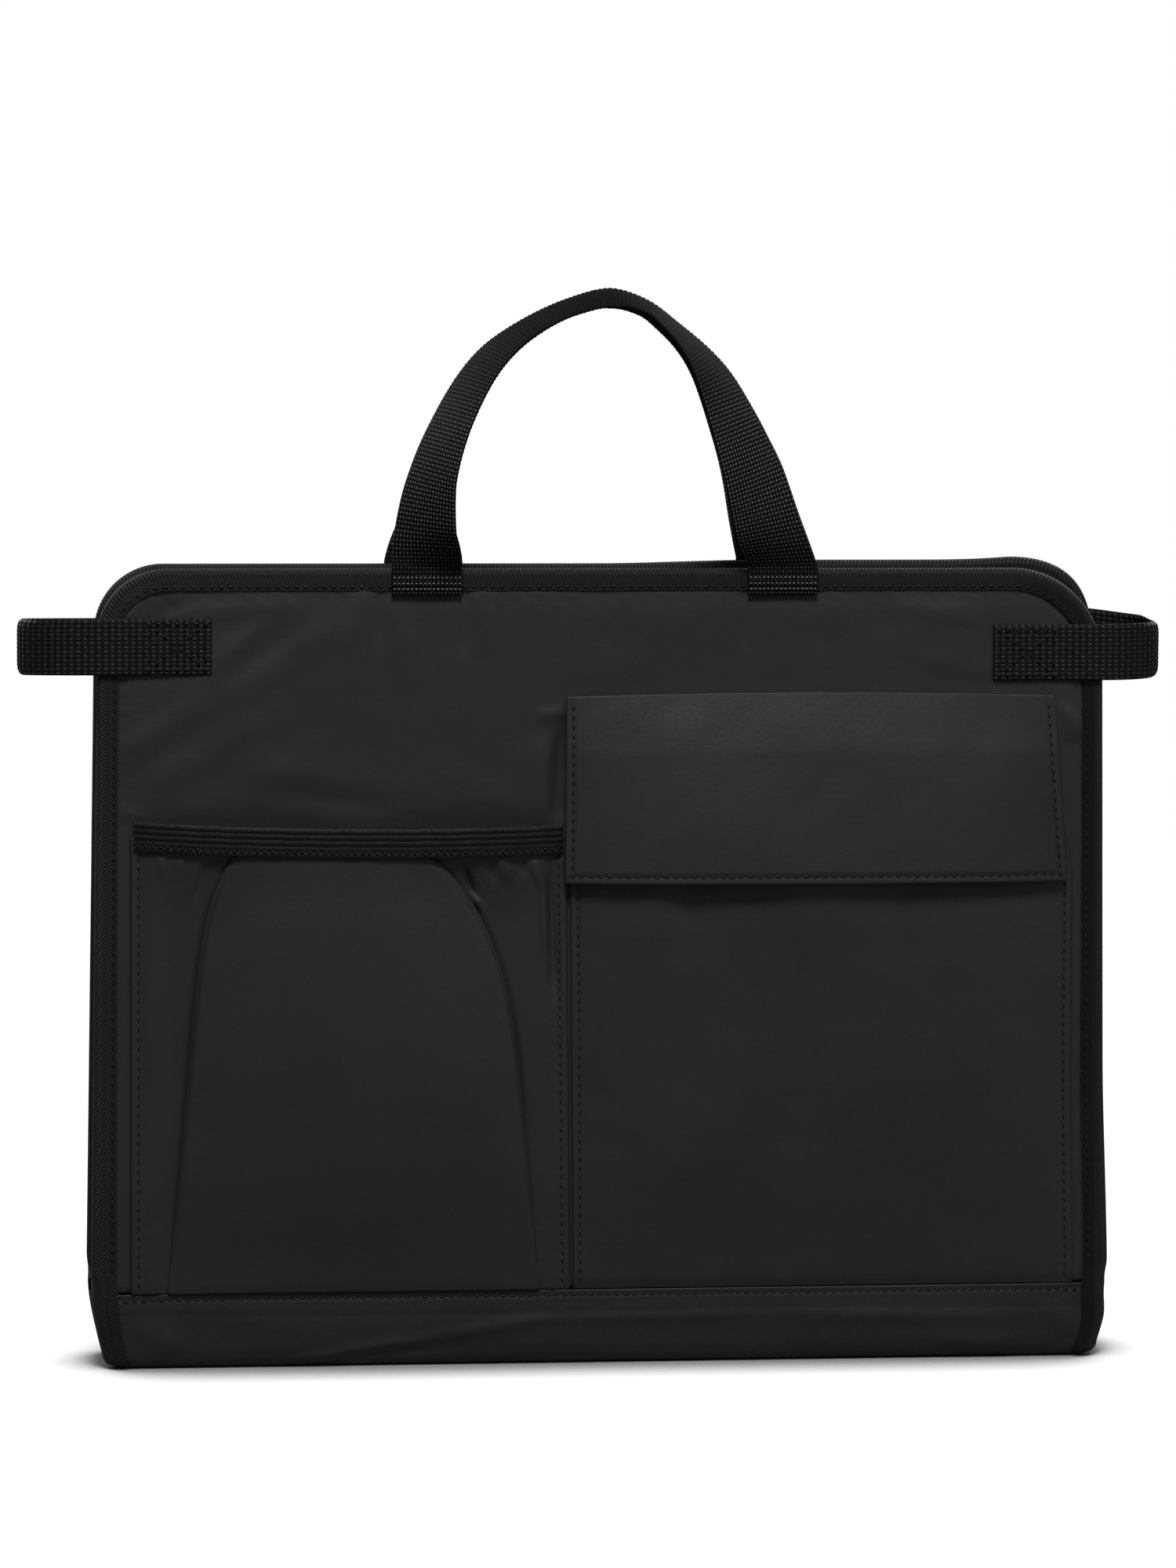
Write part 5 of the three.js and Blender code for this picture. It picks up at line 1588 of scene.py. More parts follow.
def cloth_material(name, dark, light, rough, pattern, pattern_inputs, pattern_share, bump,
                   fibre_share=0.5, patch_scale=25, shine=0.2, contrast=1, bands=()):
    """Cloth whose pattern and tone mix two colours, with the pattern as its relief. The pattern's raised
    yarns take the light colour and its crevices the dark one: painted highlights on the yarns and painted
    shade between them.
    bands are shares of brightness at places along the cloth's second direction: on the elastic, stripes whose
    dark lines are painted shade in its grooves, and along a handle, painted light and shade."""
    material = bpy.data.materials.new(name)
    material.use_nodes = True
    tree = material.node_tree
    shader = tree.nodes["Principled BSDF"]
    where = add_node(tree, "ShaderNodeTexCoord")
    weave = add_node(tree, "ShaderNodeGroup", {
        "Place": where.outputs["UV"], **pattern_inputs}, node_tree=pattern)
    tone = add_node(tree, "ShaderNodeGroup", {
        "Place": where.outputs["Object"], "Fibre share": fibre_share, "Patch scale": patch_scale,
    }, node_tree=tone_group)
    shade = add_node(tree, "ShaderNodeMix", {
        "Factor": pattern_share, 2: tone.outputs["Tone"], 3: weave.outputs["Height"]}).outputs[0]
    if contrast != 1:
        shade = maths(tree, "POWER", shade, contrast)
    if bands:
        place = add_node(tree, "ShaderNodeSeparateXYZ", {"Vector": where.outputs["UV"]})
        ramp = add_node(tree, "ShaderNodeValToRGB", {
            "Fac": maths(tree, "DIVIDE", place.outputs["Y"], bands[-1][0] * MM)})
        for index, (height, share) in enumerate(bands):
            if index < 2:
                stop = ramp.color_ramp.elements[index]
            else:
                stop = ramp.color_ramp.elements.new(1)
            stop.position = height / bands[-1][0]
            stop.color = (share, share, share, 1)
        shade = maths(tree, "MULTIPLY", shade, ramp.outputs["Color"])
    color = add_node(tree, "ShaderNodeMix", {"Factor": shade, "A": dark, "B": light}, data_type="RGBA")
    tree.links.new(color.outputs["Result"], shader.inputs["Base Color"])
    roughness = add_node(tree, "ShaderNodeMapRange", {
        "Value": shade, "To Min": rough + ROUGHNESS_SPREAD, "To Max": rough - ROUGHNESS_SPREAD})
    tree.links.new(roughness.outputs["Result"], shader.inputs["Roughness"])
    relief = add_node(tree, "ShaderNodeBump", {"Height": shade, "Distance": bump * MM, "Strength": 1})
    tree.links.new(relief.outputs["Normal"], shader.inputs["Normal"])
    shader.inputs["Specular IOR Level"].default_value = shine
    return material


PLAIN_WEAVE = {"Across": 0.55 * MM, "Along": 0.6 * MM, "Under": 0.5}
HANDLE_WEAVE = {
    "Across": HANDLE_WIDTH / HANDLE_YARNS * MM, "Along": HANDLE_YARN_LENGTH * MM, "Under": HANDLE_UNDER_SHARE}
THREAD_TWIST = {"Pitch": 0.4 * MM, "Band": 2 * MM, "Slant": 0.8}
panel_material = cloth_material(
    "charcoal cloth", ink(24, 24, 26), ink(34, 34, 37), 0.56, yarn_group, PLAIN_WEAVE, 0.35, 0.1, shine=0.2)
# The flap's cloth is the charcoal cloth painted a little darker: painted shade that takes down the flap's
# brightness where it tilts up to the key lamp.
darkened_flap_material = cloth_material(
    "flap cloth", ink(22, 22, 24), ink(32, 32, 35), 0.58, yarn_group, PLAIN_WEAVE, 0.35, 0.1, shine=0.2)
band_material = cloth_material(
    "base cloth", ink(22, 22, 24), ink(35, 35, 38), 0.56, yarn_group, PLAIN_WEAVE, 0.35, 0.1, shine=0.2)
tape_material = cloth_material(
    "binding twill", ink(4, 4, 5), ink(28, 28, 29), 0.62, twill_group,
    {"Pitch": 1.3 * MM, "Band": 4.4 * MM, "Slant": 1.0}, 0.75, 0.3, shine=0.14)
# The handle and loop webbings mix near-black gaps with much lighter raised yarns: painted glints on the yarns
# and painted shade between them. The handle's brightness along its run is painted light and shade too.
webbing_material = cloth_material(
    "handle webbing", ink(2, 2, 2), ink(98, 97, 98), 0.65, yarn_group, HANDLE_WEAVE, 0.9, 0.2,
    fibre_share=0.8, shine=0.04, contrast=3, bands=HANDLE_PAINTED_LIGHT)
loop_material = cloth_material(
    "loop webbing", ink(1, 1, 1), ink(39, 39, 40), 0.5, yarn_group,
    {"Across": LOOP_YARN_WIDTH * MM, "Along": LOOP_RIB_PITCH * MM, "Under": 0.8}, 0.85, 0.2,
    fibre_share=0.8, shine=0.1, contrast=2)
elastic_material = cloth_material(
    "ribbed elastic", ink(1, 1, 1), ink(35, 34, 35), 0.5, yarn_group,
    {"Across": ELASTIC_GATHER_PITCH * MM, "Along": ELASTIC_WIDTH / ELASTIC_CORDS * MM, "Under": 0.7},
    0.35, 0.15, fibre_share=0.7, patch_scale=180, shine=0.12, bands=ELASTIC_STRIPES_AND_GROOVE_SHADE)
lining_material = cloth_material(
    "lining cloth", ink(24, 24, 25), ink(34, 34, 36), 0.5, yarn_group,
    {"Across": 0.4 * MM, "Along": 0.4 * MM, "Under": 0.5}, 0.35, 0.08)
grip_material = cloth_material(
    "grip tape", ink(8, 8, 8), ink(30, 30, 30), 0.8, yarn_group,
    {"Across": 0.7 * MM, "Along": 0.7 * MM, "Under": 0.8}, 0.6, 0.3)
foam_material = cloth_material(
    "padding", ink(48, 48, 50), ink(66, 66, 68), 0.9, twill_group,
    {"Pitch": 1.4 * MM, "Band": 1.4 * MM, "Slant": 1.0}, 0.3, 0.3)
board_material = cloth_material(
    "stiff board", ink(20, 20, 21), ink(32, 32, 34), 0.5, twill_group,
    {"Pitch": 2.0 * MM, "Band": 40 * MM, "Slant": 0.2}, 0.2, 0.05)
thread_material = cloth_material(
    "black thread", ink(3, 3, 3), ink(14, 14, 14), 0.5, twill_group, THREAD_TWIST, 0.6, 0.05, shine=0.2)
# The tab thread is painted much lighter than the black thread: painted highlights for the glints on its rows
# of stitches.
glint_painted_thread_material = cloth_material(
    "tab thread with painted glints", ink(34, 34, 34), ink(88, 88, 88), 0.4, twill_group, THREAD_TWIST, 0.6, 0.05,
    shine=0.5)


def finish_piece(piece, material, slot, *nodes):
    """One material for a piece, and the solids that it stands for hidden. slot is not used."""
    piece.data.materials.clear()
    piece.data.materials.append(material)
    if nodes:
        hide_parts(*nodes)
    return piece


# Stitches: Geometry Nodes set small thread ends along rows that are drawn on the cloth.
# A kind of stitch is its pitch, its length and the thread's radius.

PANEL_STITCH = (3.3, 2.2, 0.36)
FLAP_STITCH = (3.3, 2.2, 0.42)
BASE_STITCH = (3.1, 2.1, 0.34)
TAB_STITCH = (1.45, 1.0, 0.4)
ELASTIC_STITCH = (2.6, 1.6, 0.42)
STITCH_UNEVENNESS = 0.12
THREAD_OUT = 0.12
THREAD_SUNK = 0.1


def make_stitch_tree():
    """Small stretched balls along a row of points, each of a slightly different size"""
    tree, given, out = new_group(
        "stitch row", "GeometryNodeTree",
        [("Rows", "NodeSocketGeometry", None), ("Pitch", "NodeSocketFloat", 0.003),
         ("Stitch length", "NodeSocketFloat", 0.002), ("Thread radius", "NodeSocketFloat", 0.0003),
         ("Unevenness", "NodeSocketFloat", 0.1), ("Seed", "NodeSocketInt", 1),
         ("Finish", "NodeSocketMaterial", None)],
        [("Stitches", "NodeSocketGeometry")],
    )
    curve = add_node(tree, "GeometryNodeMeshToCurve", {"Mesh": given.outputs["Rows"]})
    even = add_node(tree, "GeometryNodeResampleCurve", {
        "Curve": curve.outputs["Curve"], "Length": given.outputs["Pitch"]}, mode="LENGTH")
    tangent = add_node(tree, "GeometryNodeInputTangent")
    aim = add_node(tree, "FunctionNodeAlignRotationToVector", {
        "Vector": tangent.outputs["Tangent"]}, axis="Z")
    ball = add_node(tree, "GeometryNodeMeshUVSphere", {"Segments": 8, "Rings": 5, "Radius": 1})
    half = add_node(tree, "ShaderNodeMath", {
        0: given.outputs["Stitch length"], 1: HALF}, operation="MULTIPLY")
    size = add_node(tree, "ShaderNodeCombineXYZ", {
        "X": given.outputs["Thread radius"], "Y": given.outputs["Thread radius"], "Z": half.outputs[0]})
    stitch = add_node(tree, "GeometryNodeTransform", {
        "Geometry": ball.outputs["Mesh"], "Scale": size.outputs["Vector"]})
    low = add_node(tree, "ShaderNodeMath", {0: 1.0, 1: given.outputs["Unevenness"]}, operation="SUBTRACT")
    vary = add_node(tree, "FunctionNodeRandomValue", data_type="FLOAT")
    tree.links.new(low.outputs[0], vary.inputs[2])
    vary.inputs[3].default_value = 1
    tree.links.new(given.outputs["Seed"], vary.inputs["Seed"])
    placed = add_node(tree, "GeometryNodeInstanceOnPoints", {
        "Points": even.outputs["Curve"], "Instance": stitch.outputs["Geometry"],
        "Rotation": aim.outputs["Rotation"], "Scale": vary.outputs[1]})
    real = add_node(tree, "GeometryNodeRealizeInstances", {"Geometry": placed.outputs["Instances"]})
    soft = add_node(tree, "GeometryNodeSetShadeSmooth", {"Geometry": real.outputs["Geometry"]})
    done = add_node(tree, "GeometryNodeSetMaterial", {
        "Geometry": soft.outputs["Geometry"], "Material": given.outputs["Finish"]})
    tree.links.new(done.outputs["Geometry"], out.inputs["Stitches"])
    return tree


stitch_tree = make_stitch_tree()


def stitches(name, rows, kind, seed, finish=thread_material):
    """Plain mesh of stitches of one kind along rows of points"""
    pitch, length, radius = kind
    points, edges = [], []
    for row in rows:
        start = len(points)
        points.extend((settled(np.asarray(row)) * MM).tolist())
        edges.extend((start + i, start + i + 1) for i in range(len(row) - 1))
    mesh = bpy.data.meshes.new(name + "_rows")
    mesh.from_pydata(points, edges, [])
    guide = new_object(name + "_rows", mesh)
    modifier = guide.modifiers.new("stitch row", "NODES")
    modifier.node_group = stitch_tree
    values = {"Pitch": pitch * MM, "Stitch length": length * MM, "Thread radius": radius * MM,
              "Unevenness": STITCH_UNEVENNESS, "Seed": seed, "Finish": finish}
    for item in stitch_tree.interface.items_tree:
        if item.in_out == "INPUT" and item.name in values:
            modifier[item.identifier] = values[item.name]
    bpy.context.view_layer.update()
    depsgraph = bpy.context.evaluated_depsgraph_get()
    plain = bpy.data.meshes.new_from_object(guide.evaluated_get(depsgraph))
    bpy.data.objects.remove(guide)
    piece = new_object(name, plain)
    return piece


# Camera at the photograph's angle. The focal length is in pixels of a picture that is 2000 high.

SENSOR_WIDTH = 36
FOCAL_PIXELS = 8640
PICTURE_HEIGHT = 2000
CAMERA_AZIMUTH = math.radians(-6.6)
CAMERA_ELEVATION = math.radians(6.0)
CAMERA_ROLL = math.radians(0.42)
CAMERA_AIM = Vector((-5.8, -17, 208)) * MM
CAMERA_DISTANCE = 2400 * MM


def add_camera():
    """Long lens aimed a little from the left and from above"""
    data = bpy.data.cameras.new("camera")
    data.sensor_width = SENSOR_WIDTH
    data.sensor_fit = "AUTO"
    data.lens = FOCAL_PIXELS * SENSOR_WIDTH / PICTURE_HEIGHT
    camera = new_object("camera", data)
    back = Vector((
        math.sin(CAMERA_AZIMUTH) * math.cos(CAMERA_ELEVATION),
        -math.cos(CAMERA_AZIMUTH) * math.cos(CAMERA_ELEVATION),
        math.sin(CAMERA_ELEVATION),
    ))
    camera.location = CAMERA_AIM + back * CAMERA_DISTANCE
    right = Vector((math.cos(CAMERA_AZIMUTH), math.sin(CAMERA_AZIMUTH), 0))
    up = back.cross(right)
    rolled_right = right * math.cos(CAMERA_ROLL) + up * math.sin(CAMERA_ROLL)
    rolled_up = up * math.cos(CAMERA_ROLL) - right * math.sin(CAMERA_ROLL)
    turned = Matrix((rolled_right, rolled_up, back)).transposed()
    camera.rotation_mode = "QUATERNION"
    camera.rotation_quaternion = turned.to_quaternion()
    bpy.context.scene.camera = camera


add_camera()
bpy.context.scene.view_settings.view_transform = "Standard"


# Build: padded panels and linings

LEFT, RIGHT = LEFT_CORNER_RADIUS, RIGHT_CORNER_RADIUS

# How far the simulated cloth may move, and the length over which it comes free
FRONT_REACH = 0.9
FRONT_REACH_RUN = 12
REAR_REACH = 1.3
REAR_REACH_RUN = 20


def front_reach(x, rise):
    """The front panel puffs only above its pockets, which lie close on it lower down"""
    pocket_top = np.where(x < PLEATED_RIGHT, PLEATED_RISE, PATCH_RISE)
    return FRONT_REACH * ease((rise - pocket_top) / FRONT_REACH_RUN)


def rear_reach(x, rise):
    """The rear panel puffs all over, less at its foot"""
    return REAR_REACH * ease(rise / REAR_REACH_RUN)


front_panel = padded_panel("front_padded_panel", FRONT_TURN, LEFT, RIGHT, FRONT_FOLDS, 3, front_reach)
finish_piece(front_panel, panel_material, "panel_cloth", "front_outer_panel", "front_foam")
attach(front_panel, "front_side")

rear_panel = padded_panel("rear_padded_panel", REAR_TURN, RIGHT, LEFT, REAR_FOLDS, 4, rear_reach)
finish_piece(rear_panel, panel_material, "panel_cloth", "rear_outer_panel", "rear_foam")
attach(rear_panel, "root")

front_lining = lining_sheet("front_lining_cloth", from_front, LEFT, RIGHT, 6)
finish_piece(front_lining, lining_material, "lining", "front_lining")
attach(front_lining, "front_side")
rear_lining = lining_sheet("rear_lining_cloth", from_rear, RIGHT, LEFT, 7)
finish_piece(rear_lining, lining_material, "lining", "rear_lining")
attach(rear_lining, "root")

# Build: bindings
front_tape = binding_tape("front_binding_tape", from_front, LEFT, RIGHT, FRONT_TURN)
finish_piece(front_tape, tape_material, "binding_tape", "front_binding", "base_binding_front_left",
             "base_binding_front_right")
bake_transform(front_tape)
rear_tape = binding_tape("rear_binding_tape", from_rear, RIGHT, LEFT, REAR_TURN)
finish_piece(rear_tape, tape_material, "binding_tape", "rear_binding", "base_binding_rear_left",
             "base_binding_rear_right")
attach(rear_tape, "root")

# Build: base
base_band = base_layer("base_band_cloth", 0, BAND_CLOTH, band_relief)
finish_piece(base_band, band_material, "band_cloth", "base_band")
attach(base_band, "root")
base_padding = base_layer("base_padding", BASE_FOAM_OFFSET, BASE_FOAM_OFFSET + FOAM_THICKNESS)
finish_piece(base_padding, foam_material, "foam", "base_foam")
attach(base_padding, "root")
base_lining = base_layer("base_lining_cloth", BASE_LINING_OFFSET, BASE_LINING_OFFSET + LINING_CLOTH)
finish_piece(base_lining, lining_material, "lining", "base_lining")
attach(base_lining, "root")
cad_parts["base_board"].data.materials.clear()
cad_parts["base_board"].data.materials.append(board_material)

# Build: gussets
for side, sign in (("left", -1), ("right", 1)):
    cloth = gusset(f"{side}_gusset_cloth", sign)
    finish_piece(cloth, panel_material, "panel_cloth", f"{side}_gusset")
    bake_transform(cloth)

# Build: handles and side loops
HANDLE_SIDES = (("front", 1, "front_side", "front_grip"), ("rear", -1, "root", "rear_grip"))
for side, facing, body, grip in HANDLE_SIDES:
    strap_piece = handle(f"{side}_handle_strap", facing)
    finish_piece(strap_piece, webbing_material, "webbing", f"{side}_handle", f"{side}_handle_left_tab",
                 f"{side}_handle_right_tab")
    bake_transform(strap_piece)
SIDE_LOOPS = (
    ("left", -1, LOOP_REACH_LEFT, LEFT_LOOP_HEIGHT, LOOP_REAR_DROP),
    ("right", 1, LOOP_REACH_RIGHT, RIGHT_LOOP_HEIGHT, 0),
)
for side, sign, reach, height, rear_drop in SIDE_LOOPS:
    loop_piece = side_loop(f"{side}_loop_strap", sign, reach, height, rear_drop)
    finish_piece(loop_piece, loop_material, "webbing", f"{side}_side_loop")
    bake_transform(loop_piece)

# Build: pockets and flap
pocket = pleated_pocket("pleated_pocket_cloth")
finish_piece(pocket, panel_material, "panel_cloth", "pleated_pocket")
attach(pocket, "front_side")
elastic = elastic_band("pocket_elastic_band")
finish_piece(elastic, elastic_material, "elastic", "pocket_elastic")
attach(elastic, "front_side")

patch = flat_sheet("flap_pocket_cloth", PATCH_LEFT, PATCH_RIGHT, POCKET_HEM_RISE, PATCH_RISE, patch_depth,
                   POCKET_CLOTH, patch_spot)
finish_piece(patch, panel_material, "panel_cloth", "flap_pocket")
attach(patch, "front_side")


FLAP_LINING_INSET = 0.6
FLAP_LINING_TOP_INSET = 0.3
FLAP_LOW = FLAP_TOP_RISE - FLAP_HEIGHT


def flap_outer_depth(x, rise):
    """Depth of the flap's front face, with its turned edge"""
    sides = np.minimum(np.minimum(x - FLAP_LEFT, FLAP_RIGHT - x), rise - FLAP_TOP_RISE + FLAP_HEIGHT)
    relief = edge_relief(sides, FLAP_EDGE_ROLL, FLAP_EDGE_GROOVE)
    return flap_depth(x, rise, FLAP_LINING_CLOTH + LAYER_GAP + FLAP_CLOTH) - relief


def flap_lining_depth(x, rise):
    """Depth of the lining's front face, behind the outer cloth"""
    return flap_depth(x, rise, FLAP_LINING_CLOTH)


flap_outer = flat_sheet("flap_outer_cloth", FLAP_LEFT, FLAP_RIGHT, FLAP_LOW, FLAP_TOP_RISE,
                        flap_outer_depth, FLAP_CLOTH, flap_spot)
finish_piece(flap_outer, darkened_flap_material, "flap_cloth", "flap_outer")
flap_lining = flat_sheet("flap_lining_cloth", FLAP_LEFT + FLAP_LINING_INSET, FLAP_RIGHT - FLAP_LINING_INSET,
                         FLAP_LOW + FLAP_LINING_INSET, FLAP_TOP_RISE - FLAP_LINING_TOP_INSET,
                         flap_lining_depth, FLAP_LINING_CLOTH, flap_spot)
finish_piece(flap_lining, lining_material, "lining", "flap_lining")
for cloth in (flap_outer, flap_lining):
    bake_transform(cloth)

loop_tape = grip_tape("pocket_loop_pad", LOOP_TAPE_INNER, 41, 0.2)
finish_piece(loop_tape, grip_material, "grip_tape", "pocket_loop_tape")
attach(loop_tape, "front_side")
hook_tape = grip_tape("flap_hook_pad", HOOK_TAPE_INNER, 42, 0.3)
finish_piece(hook_tape, grip_material, "grip_tape", "flap_hook_tape")
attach(hook_tape, "flap")


# Build: stitches
TAB_ROW_DROPS = (2.8, 4.8, 6.8)
TAB_ROW_INSET = 1
SHORT_ROW_POINTS = 12
POCKET_ROW_LOW = 4
POCKET_ROW_POINTS = 60
ELASTIC_ROW_POINTS = 160
ELASTIC_ROW_SHARE = 0.8
ELASTIC_ROW_END = 0.01
ELASTIC_THREAD_OUT = 0.2
FLAP_ROW_DROP = 4
BASE_ROW_INSET = 12
BASE_ROW_POINTS = 200

# Box stitch of a side loop: its inset, its inner and outer end, and how far it lies out
BOX_INSET = 2
BOX_NEAR = 2
BOX_FAR = 22
BOX_OUT = 0.1


def binding_rows(place, left_radius, right_radius):
    """Row along the binding on the panel's outer face, and the same on its inner face"""
    path = tape_path(left_radius, right_radius)
    inset = TAPE_STITCH_INSET * tape_slimness(path[:, 1])
    x = path[:, 0] + path[:, 2] * inset
    rise = path[:, 1] + path[:, 3] * inset
    keep = path[:, 1] > TAPE_OPEN_RISE
    front = place(x, -BINDING_RIM + THREAD_SUNK - THREAD_OUT, rise)[keep]
    back = place(x, PANEL_THICKNESS + BINDING_RIM - THREAD_SUNK + THREAD_OUT, rise)[keep]
    return [front, back]


def tab_rows(place_facing):
    """Rows across both sewn ends of a handle"""
    rows = []
    reach = HANDLE_WIDTH / 2 - TAB_ROW_INSET
    for side in (-HALF, HALF):
        for below in TAB_ROW_DROPS:
            x = HANDLE_SPREAD * side + np.linspace(-reach, reach, SHORT_ROW_POINTS)
            row = from_front(x, -WEBBING_MIDDLE - WEBBING_THICKNESS / 2 - THREAD_OUT, PANEL_RISE - below)
            rows.append(row * np.array([1, place_facing, 1]))
    return rows


def loop_rows(sign, height, drop, turned):
    """Box stitch with a cross on one sewn end of a side loop"""
    rise = (height - SEAM_HEIGHT) / math.cos(LEAN)
    edge = mix(SEAM_WIDTH, TOP_WIDTH, rise / PANEL_RISE) / 2
    depth = -SEAT_GAP - WEBBING_THICKNESS - THREAD_OUT - BOX_OUT
    low, high = rise - LOOP_WIDTH / 2 + BOX_INSET, rise + LOOP_WIDTH / 2 - BOX_INSET
    if turned:
        low, high = low - drop, high - drop
    inner, outer = edge - LOOP_SEWN_LENGTH + BOX_NEAR, edge - LOOP_SEWN_LENGTH + BOX_FAR
    corners = {"a": (inner, low), "b": (outer, low), "c": (outer, high), "d": (inner, high)}
    rows = []
    for first, last in ("ab", "bc", "cd", "da", "ac", "bd"):
        (x0, z0), (x1, z1) = corners[first], corners[last]
        share = np.linspace(0, 1, SHORT_ROW_POINTS)
        row = from_front(sign * mix(x0, x1, share), depth, mix(z0, z1, share))
        rows.append(row * np.array([1, -1 if turned else 1, 1]))
    return rows


front_rows = binding_rows(from_front, LEFT, RIGHT)
root_rows = binding_rows(from_rear, RIGHT, LEFT)
for side, sign, reach, height, rear_drop in SIDE_LOOPS:
    front_rows += loop_rows(sign, height, rear_drop, False)
    root_rows += loop_rows(sign, height, rear_drop, True)
rise = np.linspace(POCKET_ROW_LOW, PATCH_RISE - 1, POCKET_ROW_POINTS)
for x in (PATCH_LEFT + STITCH_INSET, PATCH_RIGHT - STITCH_INSET):
    placed_x, placed_rise = patch_spot(x, rise)
    front_rows.append(from_front(placed_x, patch_depth(x, rise) - THREAD_OUT, placed_rise))
rise = np.linspace(POCKET_ROW_LOW, PLEATED_RISE - 1, POCKET_ROW_POINTS)
for x in (PLEATED_LEFT + STITCH_INSET, PLEATED_RIGHT - STITCH_INSET):
    front_rows.append(from_front(pleated_spot(x, rise)[0], -SEAT_GAP - POCKET_CLOTH - THREAD_OUT, rise))
front_threads = stitches("front_threads", front_rows, PANEL_STITCH, 1)
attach(front_threads, "front_side")
for side, facing, body in (("front", 1, "front_side"), ("rear", -1, "root")):
    tab_threads = stitches(f"{side}_tab_threads", tab_rows(facing), TAB_STITCH, 5, glint_painted_thread_material)
    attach(tab_threads, body)

share = np.linspace(ELASTIC_ROW_END, 1 - ELASTIC_ROW_END, ELASTIC_ROW_POINTS)
x = mix(PLEATED_LEFT + ELASTIC_SIDE_LAP, PLEATED_RIGHT - ELASTIC_SIDE_LAP, share)
row_rise = elastic_top(share) - ELASTIC_WIDTH * ELASTIC_ROW_SHARE
row_depth = elastic_depth(share) - ELASTIC_THICKNESS - ELASTIC_THREAD_OUT
elastic_row = from_front(pleated_spot(x, row_rise)[0], row_depth, row_rise)
elastic_threads = stitches("elastic_threads", [elastic_row], ELASTIC_STITCH, 2)
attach(elastic_threads, "front_side")

inset = STITCH_INSET
rise = np.linspace(FLAP_TOP_RISE - FLAP_ROW_DROP, FLAP_LOW + inset, 30)
across = np.linspace(FLAP_LEFT + inset, FLAP_RIGHT - inset, 90)
flap_rows = []
for x, up in ((FLAP_LEFT + inset, rise), (FLAP_RIGHT - inset, rise), (across, FLAP_LOW + inset)):
    placed_x, placed_rise = flap_spot(x, up)
    flap_rows.append(from_front(placed_x, flap_outer_depth(x, up) - THREAD_OUT, placed_rise))
flap_threads = stitches("flap_threads", flap_rows, FLAP_STITCH, 3)
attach(flap_threads, "flap")

base_rows = []
row_reach = SEAM_WIDTH / 2 - BASE_ROW_INSET
for sign in (-1, 1):
    x = np.linspace(-row_reach, row_reach, BASE_ROW_POINTS)
    z = SEAM_HEIGHT - SEAM_STITCH_DROP
    wall = SEAM_DEPTH / 2 - float(foot_inset(np.array(z), FOOT_THINNING))
    y = sign * (wall + SEAM_LEDGE - SEAM_GROOVE + THREAD_OUT)
    base_rows.append(np.stack([x, np.full(len(x), y), np.full(len(x), z)], axis=-1))
root_threads = stitches("base_and_rear_threads", base_rows + root_rows, BASE_STITCH, 4)
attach(root_threads, "root")


# Floor, background and light

FLOOR_HALF_SIZE = 1.6
FLOOR_BOUNCE = 0.25
FLOOR_SEEN = 0.18
FLOOR_LIFT = 0.95
SHADOW_REACH = 0.046
SHADOW_DARK, SHADOW_CLEAR = 0.47, 0.85
WORLD_LIGHT = 0.16
LAMP_AIM = Vector((0, 0, 0.15))


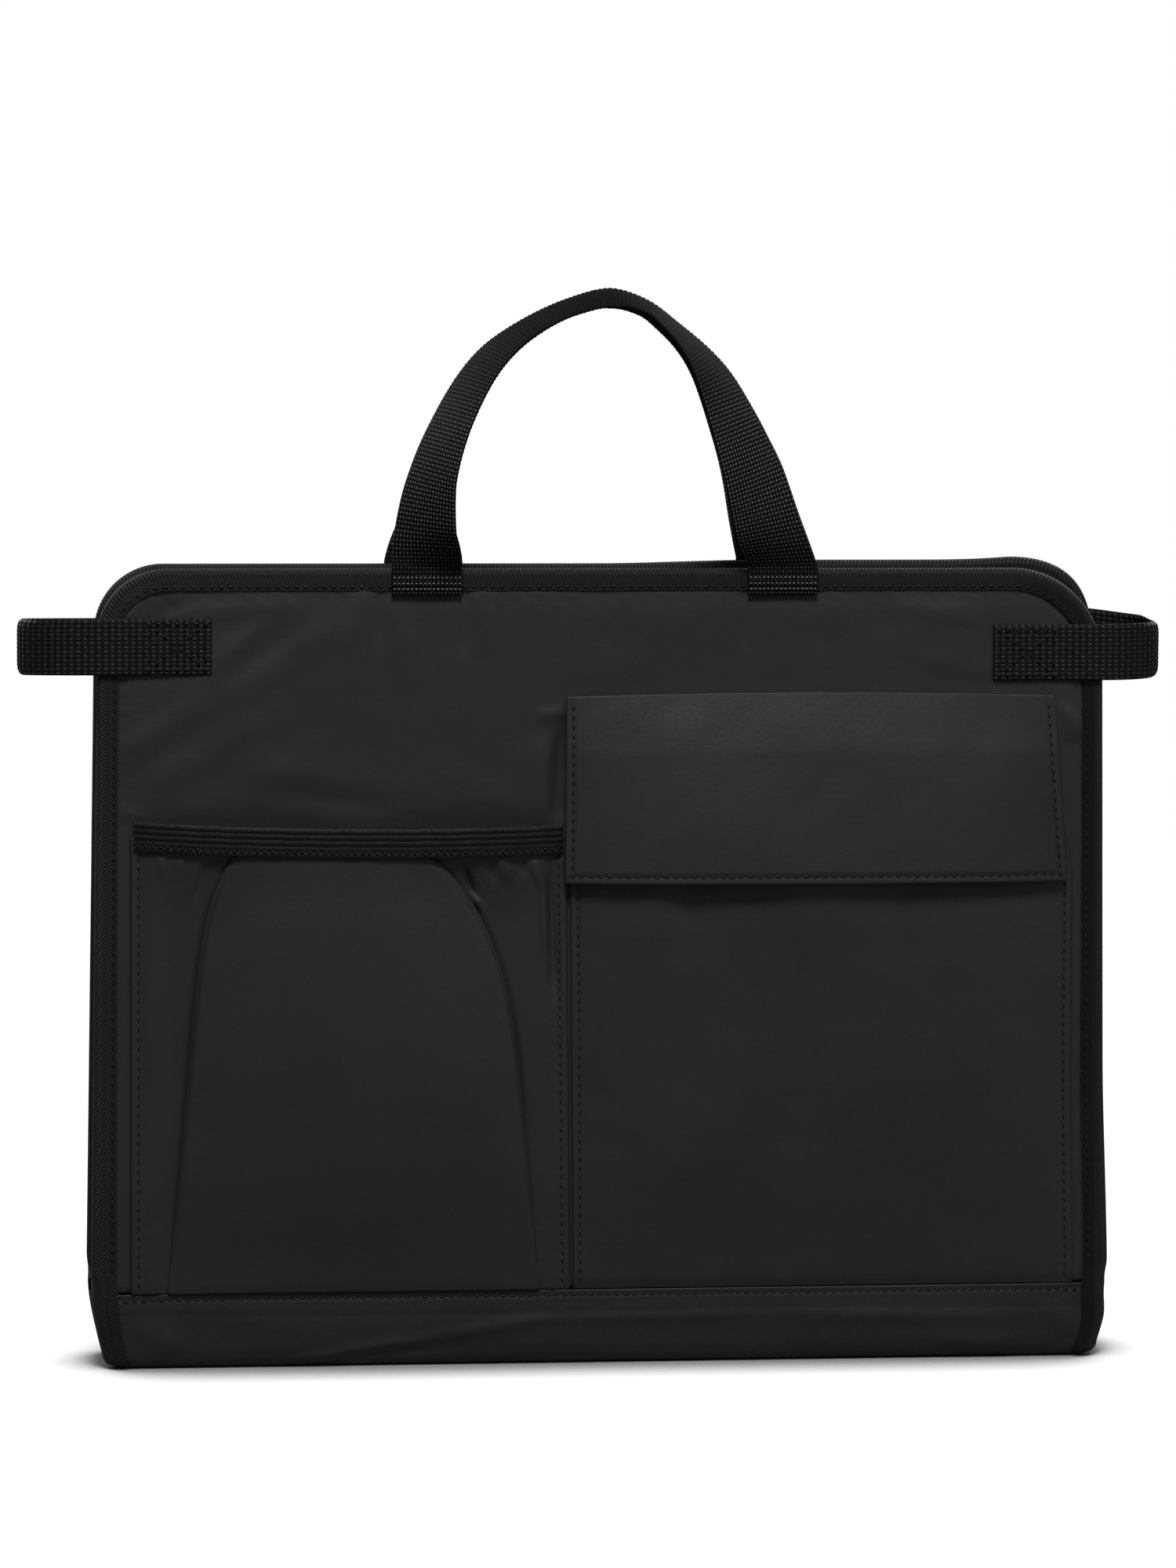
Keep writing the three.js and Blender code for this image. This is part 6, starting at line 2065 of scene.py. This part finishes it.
def add_floor():
    """White floor to the camera. It keeps the soft shadow where the object stands on it."""
    size = FLOOR_HALF_SIZE
    mesh = bpy.data.meshes.new("floor")
    corners = [(-size, -size, 0), (size, -size, 0), (size, size, 0), (-size, size, 0)]
    mesh.from_pydata(corners, [], [(0, 1, 2, 3)])
    floor = new_object("floor", mesh)
    material = bpy.data.materials.new("pale floor")
    material.use_nodes = True
    tree = material.node_tree
    tree.nodes.remove(tree.nodes["Principled BSDF"])
    seen = add_node(tree, "ShaderNodeLightPath").outputs["Is Camera Ray"]
    shade = add_node(tree, "ShaderNodeMix", {"Factor": seen, 2: FLOOR_BOUNCE, 3: FLOOR_SEEN})
    matt = add_node(tree, "ShaderNodeBsdfDiffuse", {"Color": shade.outputs[0]})
    open_sky = add_node(tree, "ShaderNodeAmbientOcclusion", {"Distance": SHADOW_REACH}, samples=8)
    cleared = add_node(tree, "ShaderNodeMapRange", {
        "Value": open_sky.outputs["AO"], "From Min": SHADOW_DARK, "From Max": SHADOW_CLEAR})
    lift = maths(tree, "MULTIPLY", maths(tree, "MULTIPLY", seen, FLOOR_LIFT), cleared.outputs["Result"])
    glow = add_node(tree, "ShaderNodeEmission", {"Strength": lift})
    both = add_node(tree, "ShaderNodeAddShader", {0: matt.outputs[0], 1: glow.outputs[0]})
    tree.links.new(both.outputs[0], tree.nodes["Material Output"].inputs["Surface"])
    mesh.materials.append(material)


def add_world():
    """White to the camera, and a low even light to everything else"""
    world = bpy.data.worlds.new("studio")
    bpy.context.scene.world = world
    world.use_nodes = True
    tree = world.node_tree
    background = tree.nodes["Background"]
    seen = add_node(tree, "ShaderNodeLightPath")
    strength = add_node(tree, "ShaderNodeMix", {
        "Factor": seen.outputs["Is Camera Ray"], 2: WORLD_LIGHT, 3: 1.0})
    background.inputs["Color"].default_value = (1, 1, 1, 1)
    tree.links.new(strength.outputs[0], background.inputs["Strength"])


def add_lamp(name, azimuth, elevation, distance, size, level):
    """Round soft lamp aimed at the object. Its level is the light that it sheds there."""
    data = bpy.data.lights.new(name, "AREA")
    data.shape = "DISK"
    data.size = size
    data.energy = level * (math.pi * distance) ** 2
    lamp = new_object(name, data)
    turn, lift = math.radians(azimuth), math.radians(elevation)
    away = Vector((math.sin(turn) * math.cos(lift), -math.cos(turn) * math.cos(lift), math.sin(lift)))
    lamp.location = LAMP_AIM + away * distance
    lamp.rotation_mode = "QUATERNION"
    lamp.rotation_quaternion = (-away).to_track_quat("-Z", "Y")


add_floor()
add_world()
add_lamp("key", azimuth=-4, elevation=57, distance=2.2, size=0.7, level=1.27)
add_lamp("fill", azimuth=45, elevation=18, distance=2.4, size=1.2, level=0.1)
add_lamp("rear left", azimuth=-140, elevation=30, distance=2.4, size=1.0, level=0.45)
add_lamp("rear right", azimuth=140, elevation=30, distance=2.4, size=1.0, level=0.45)
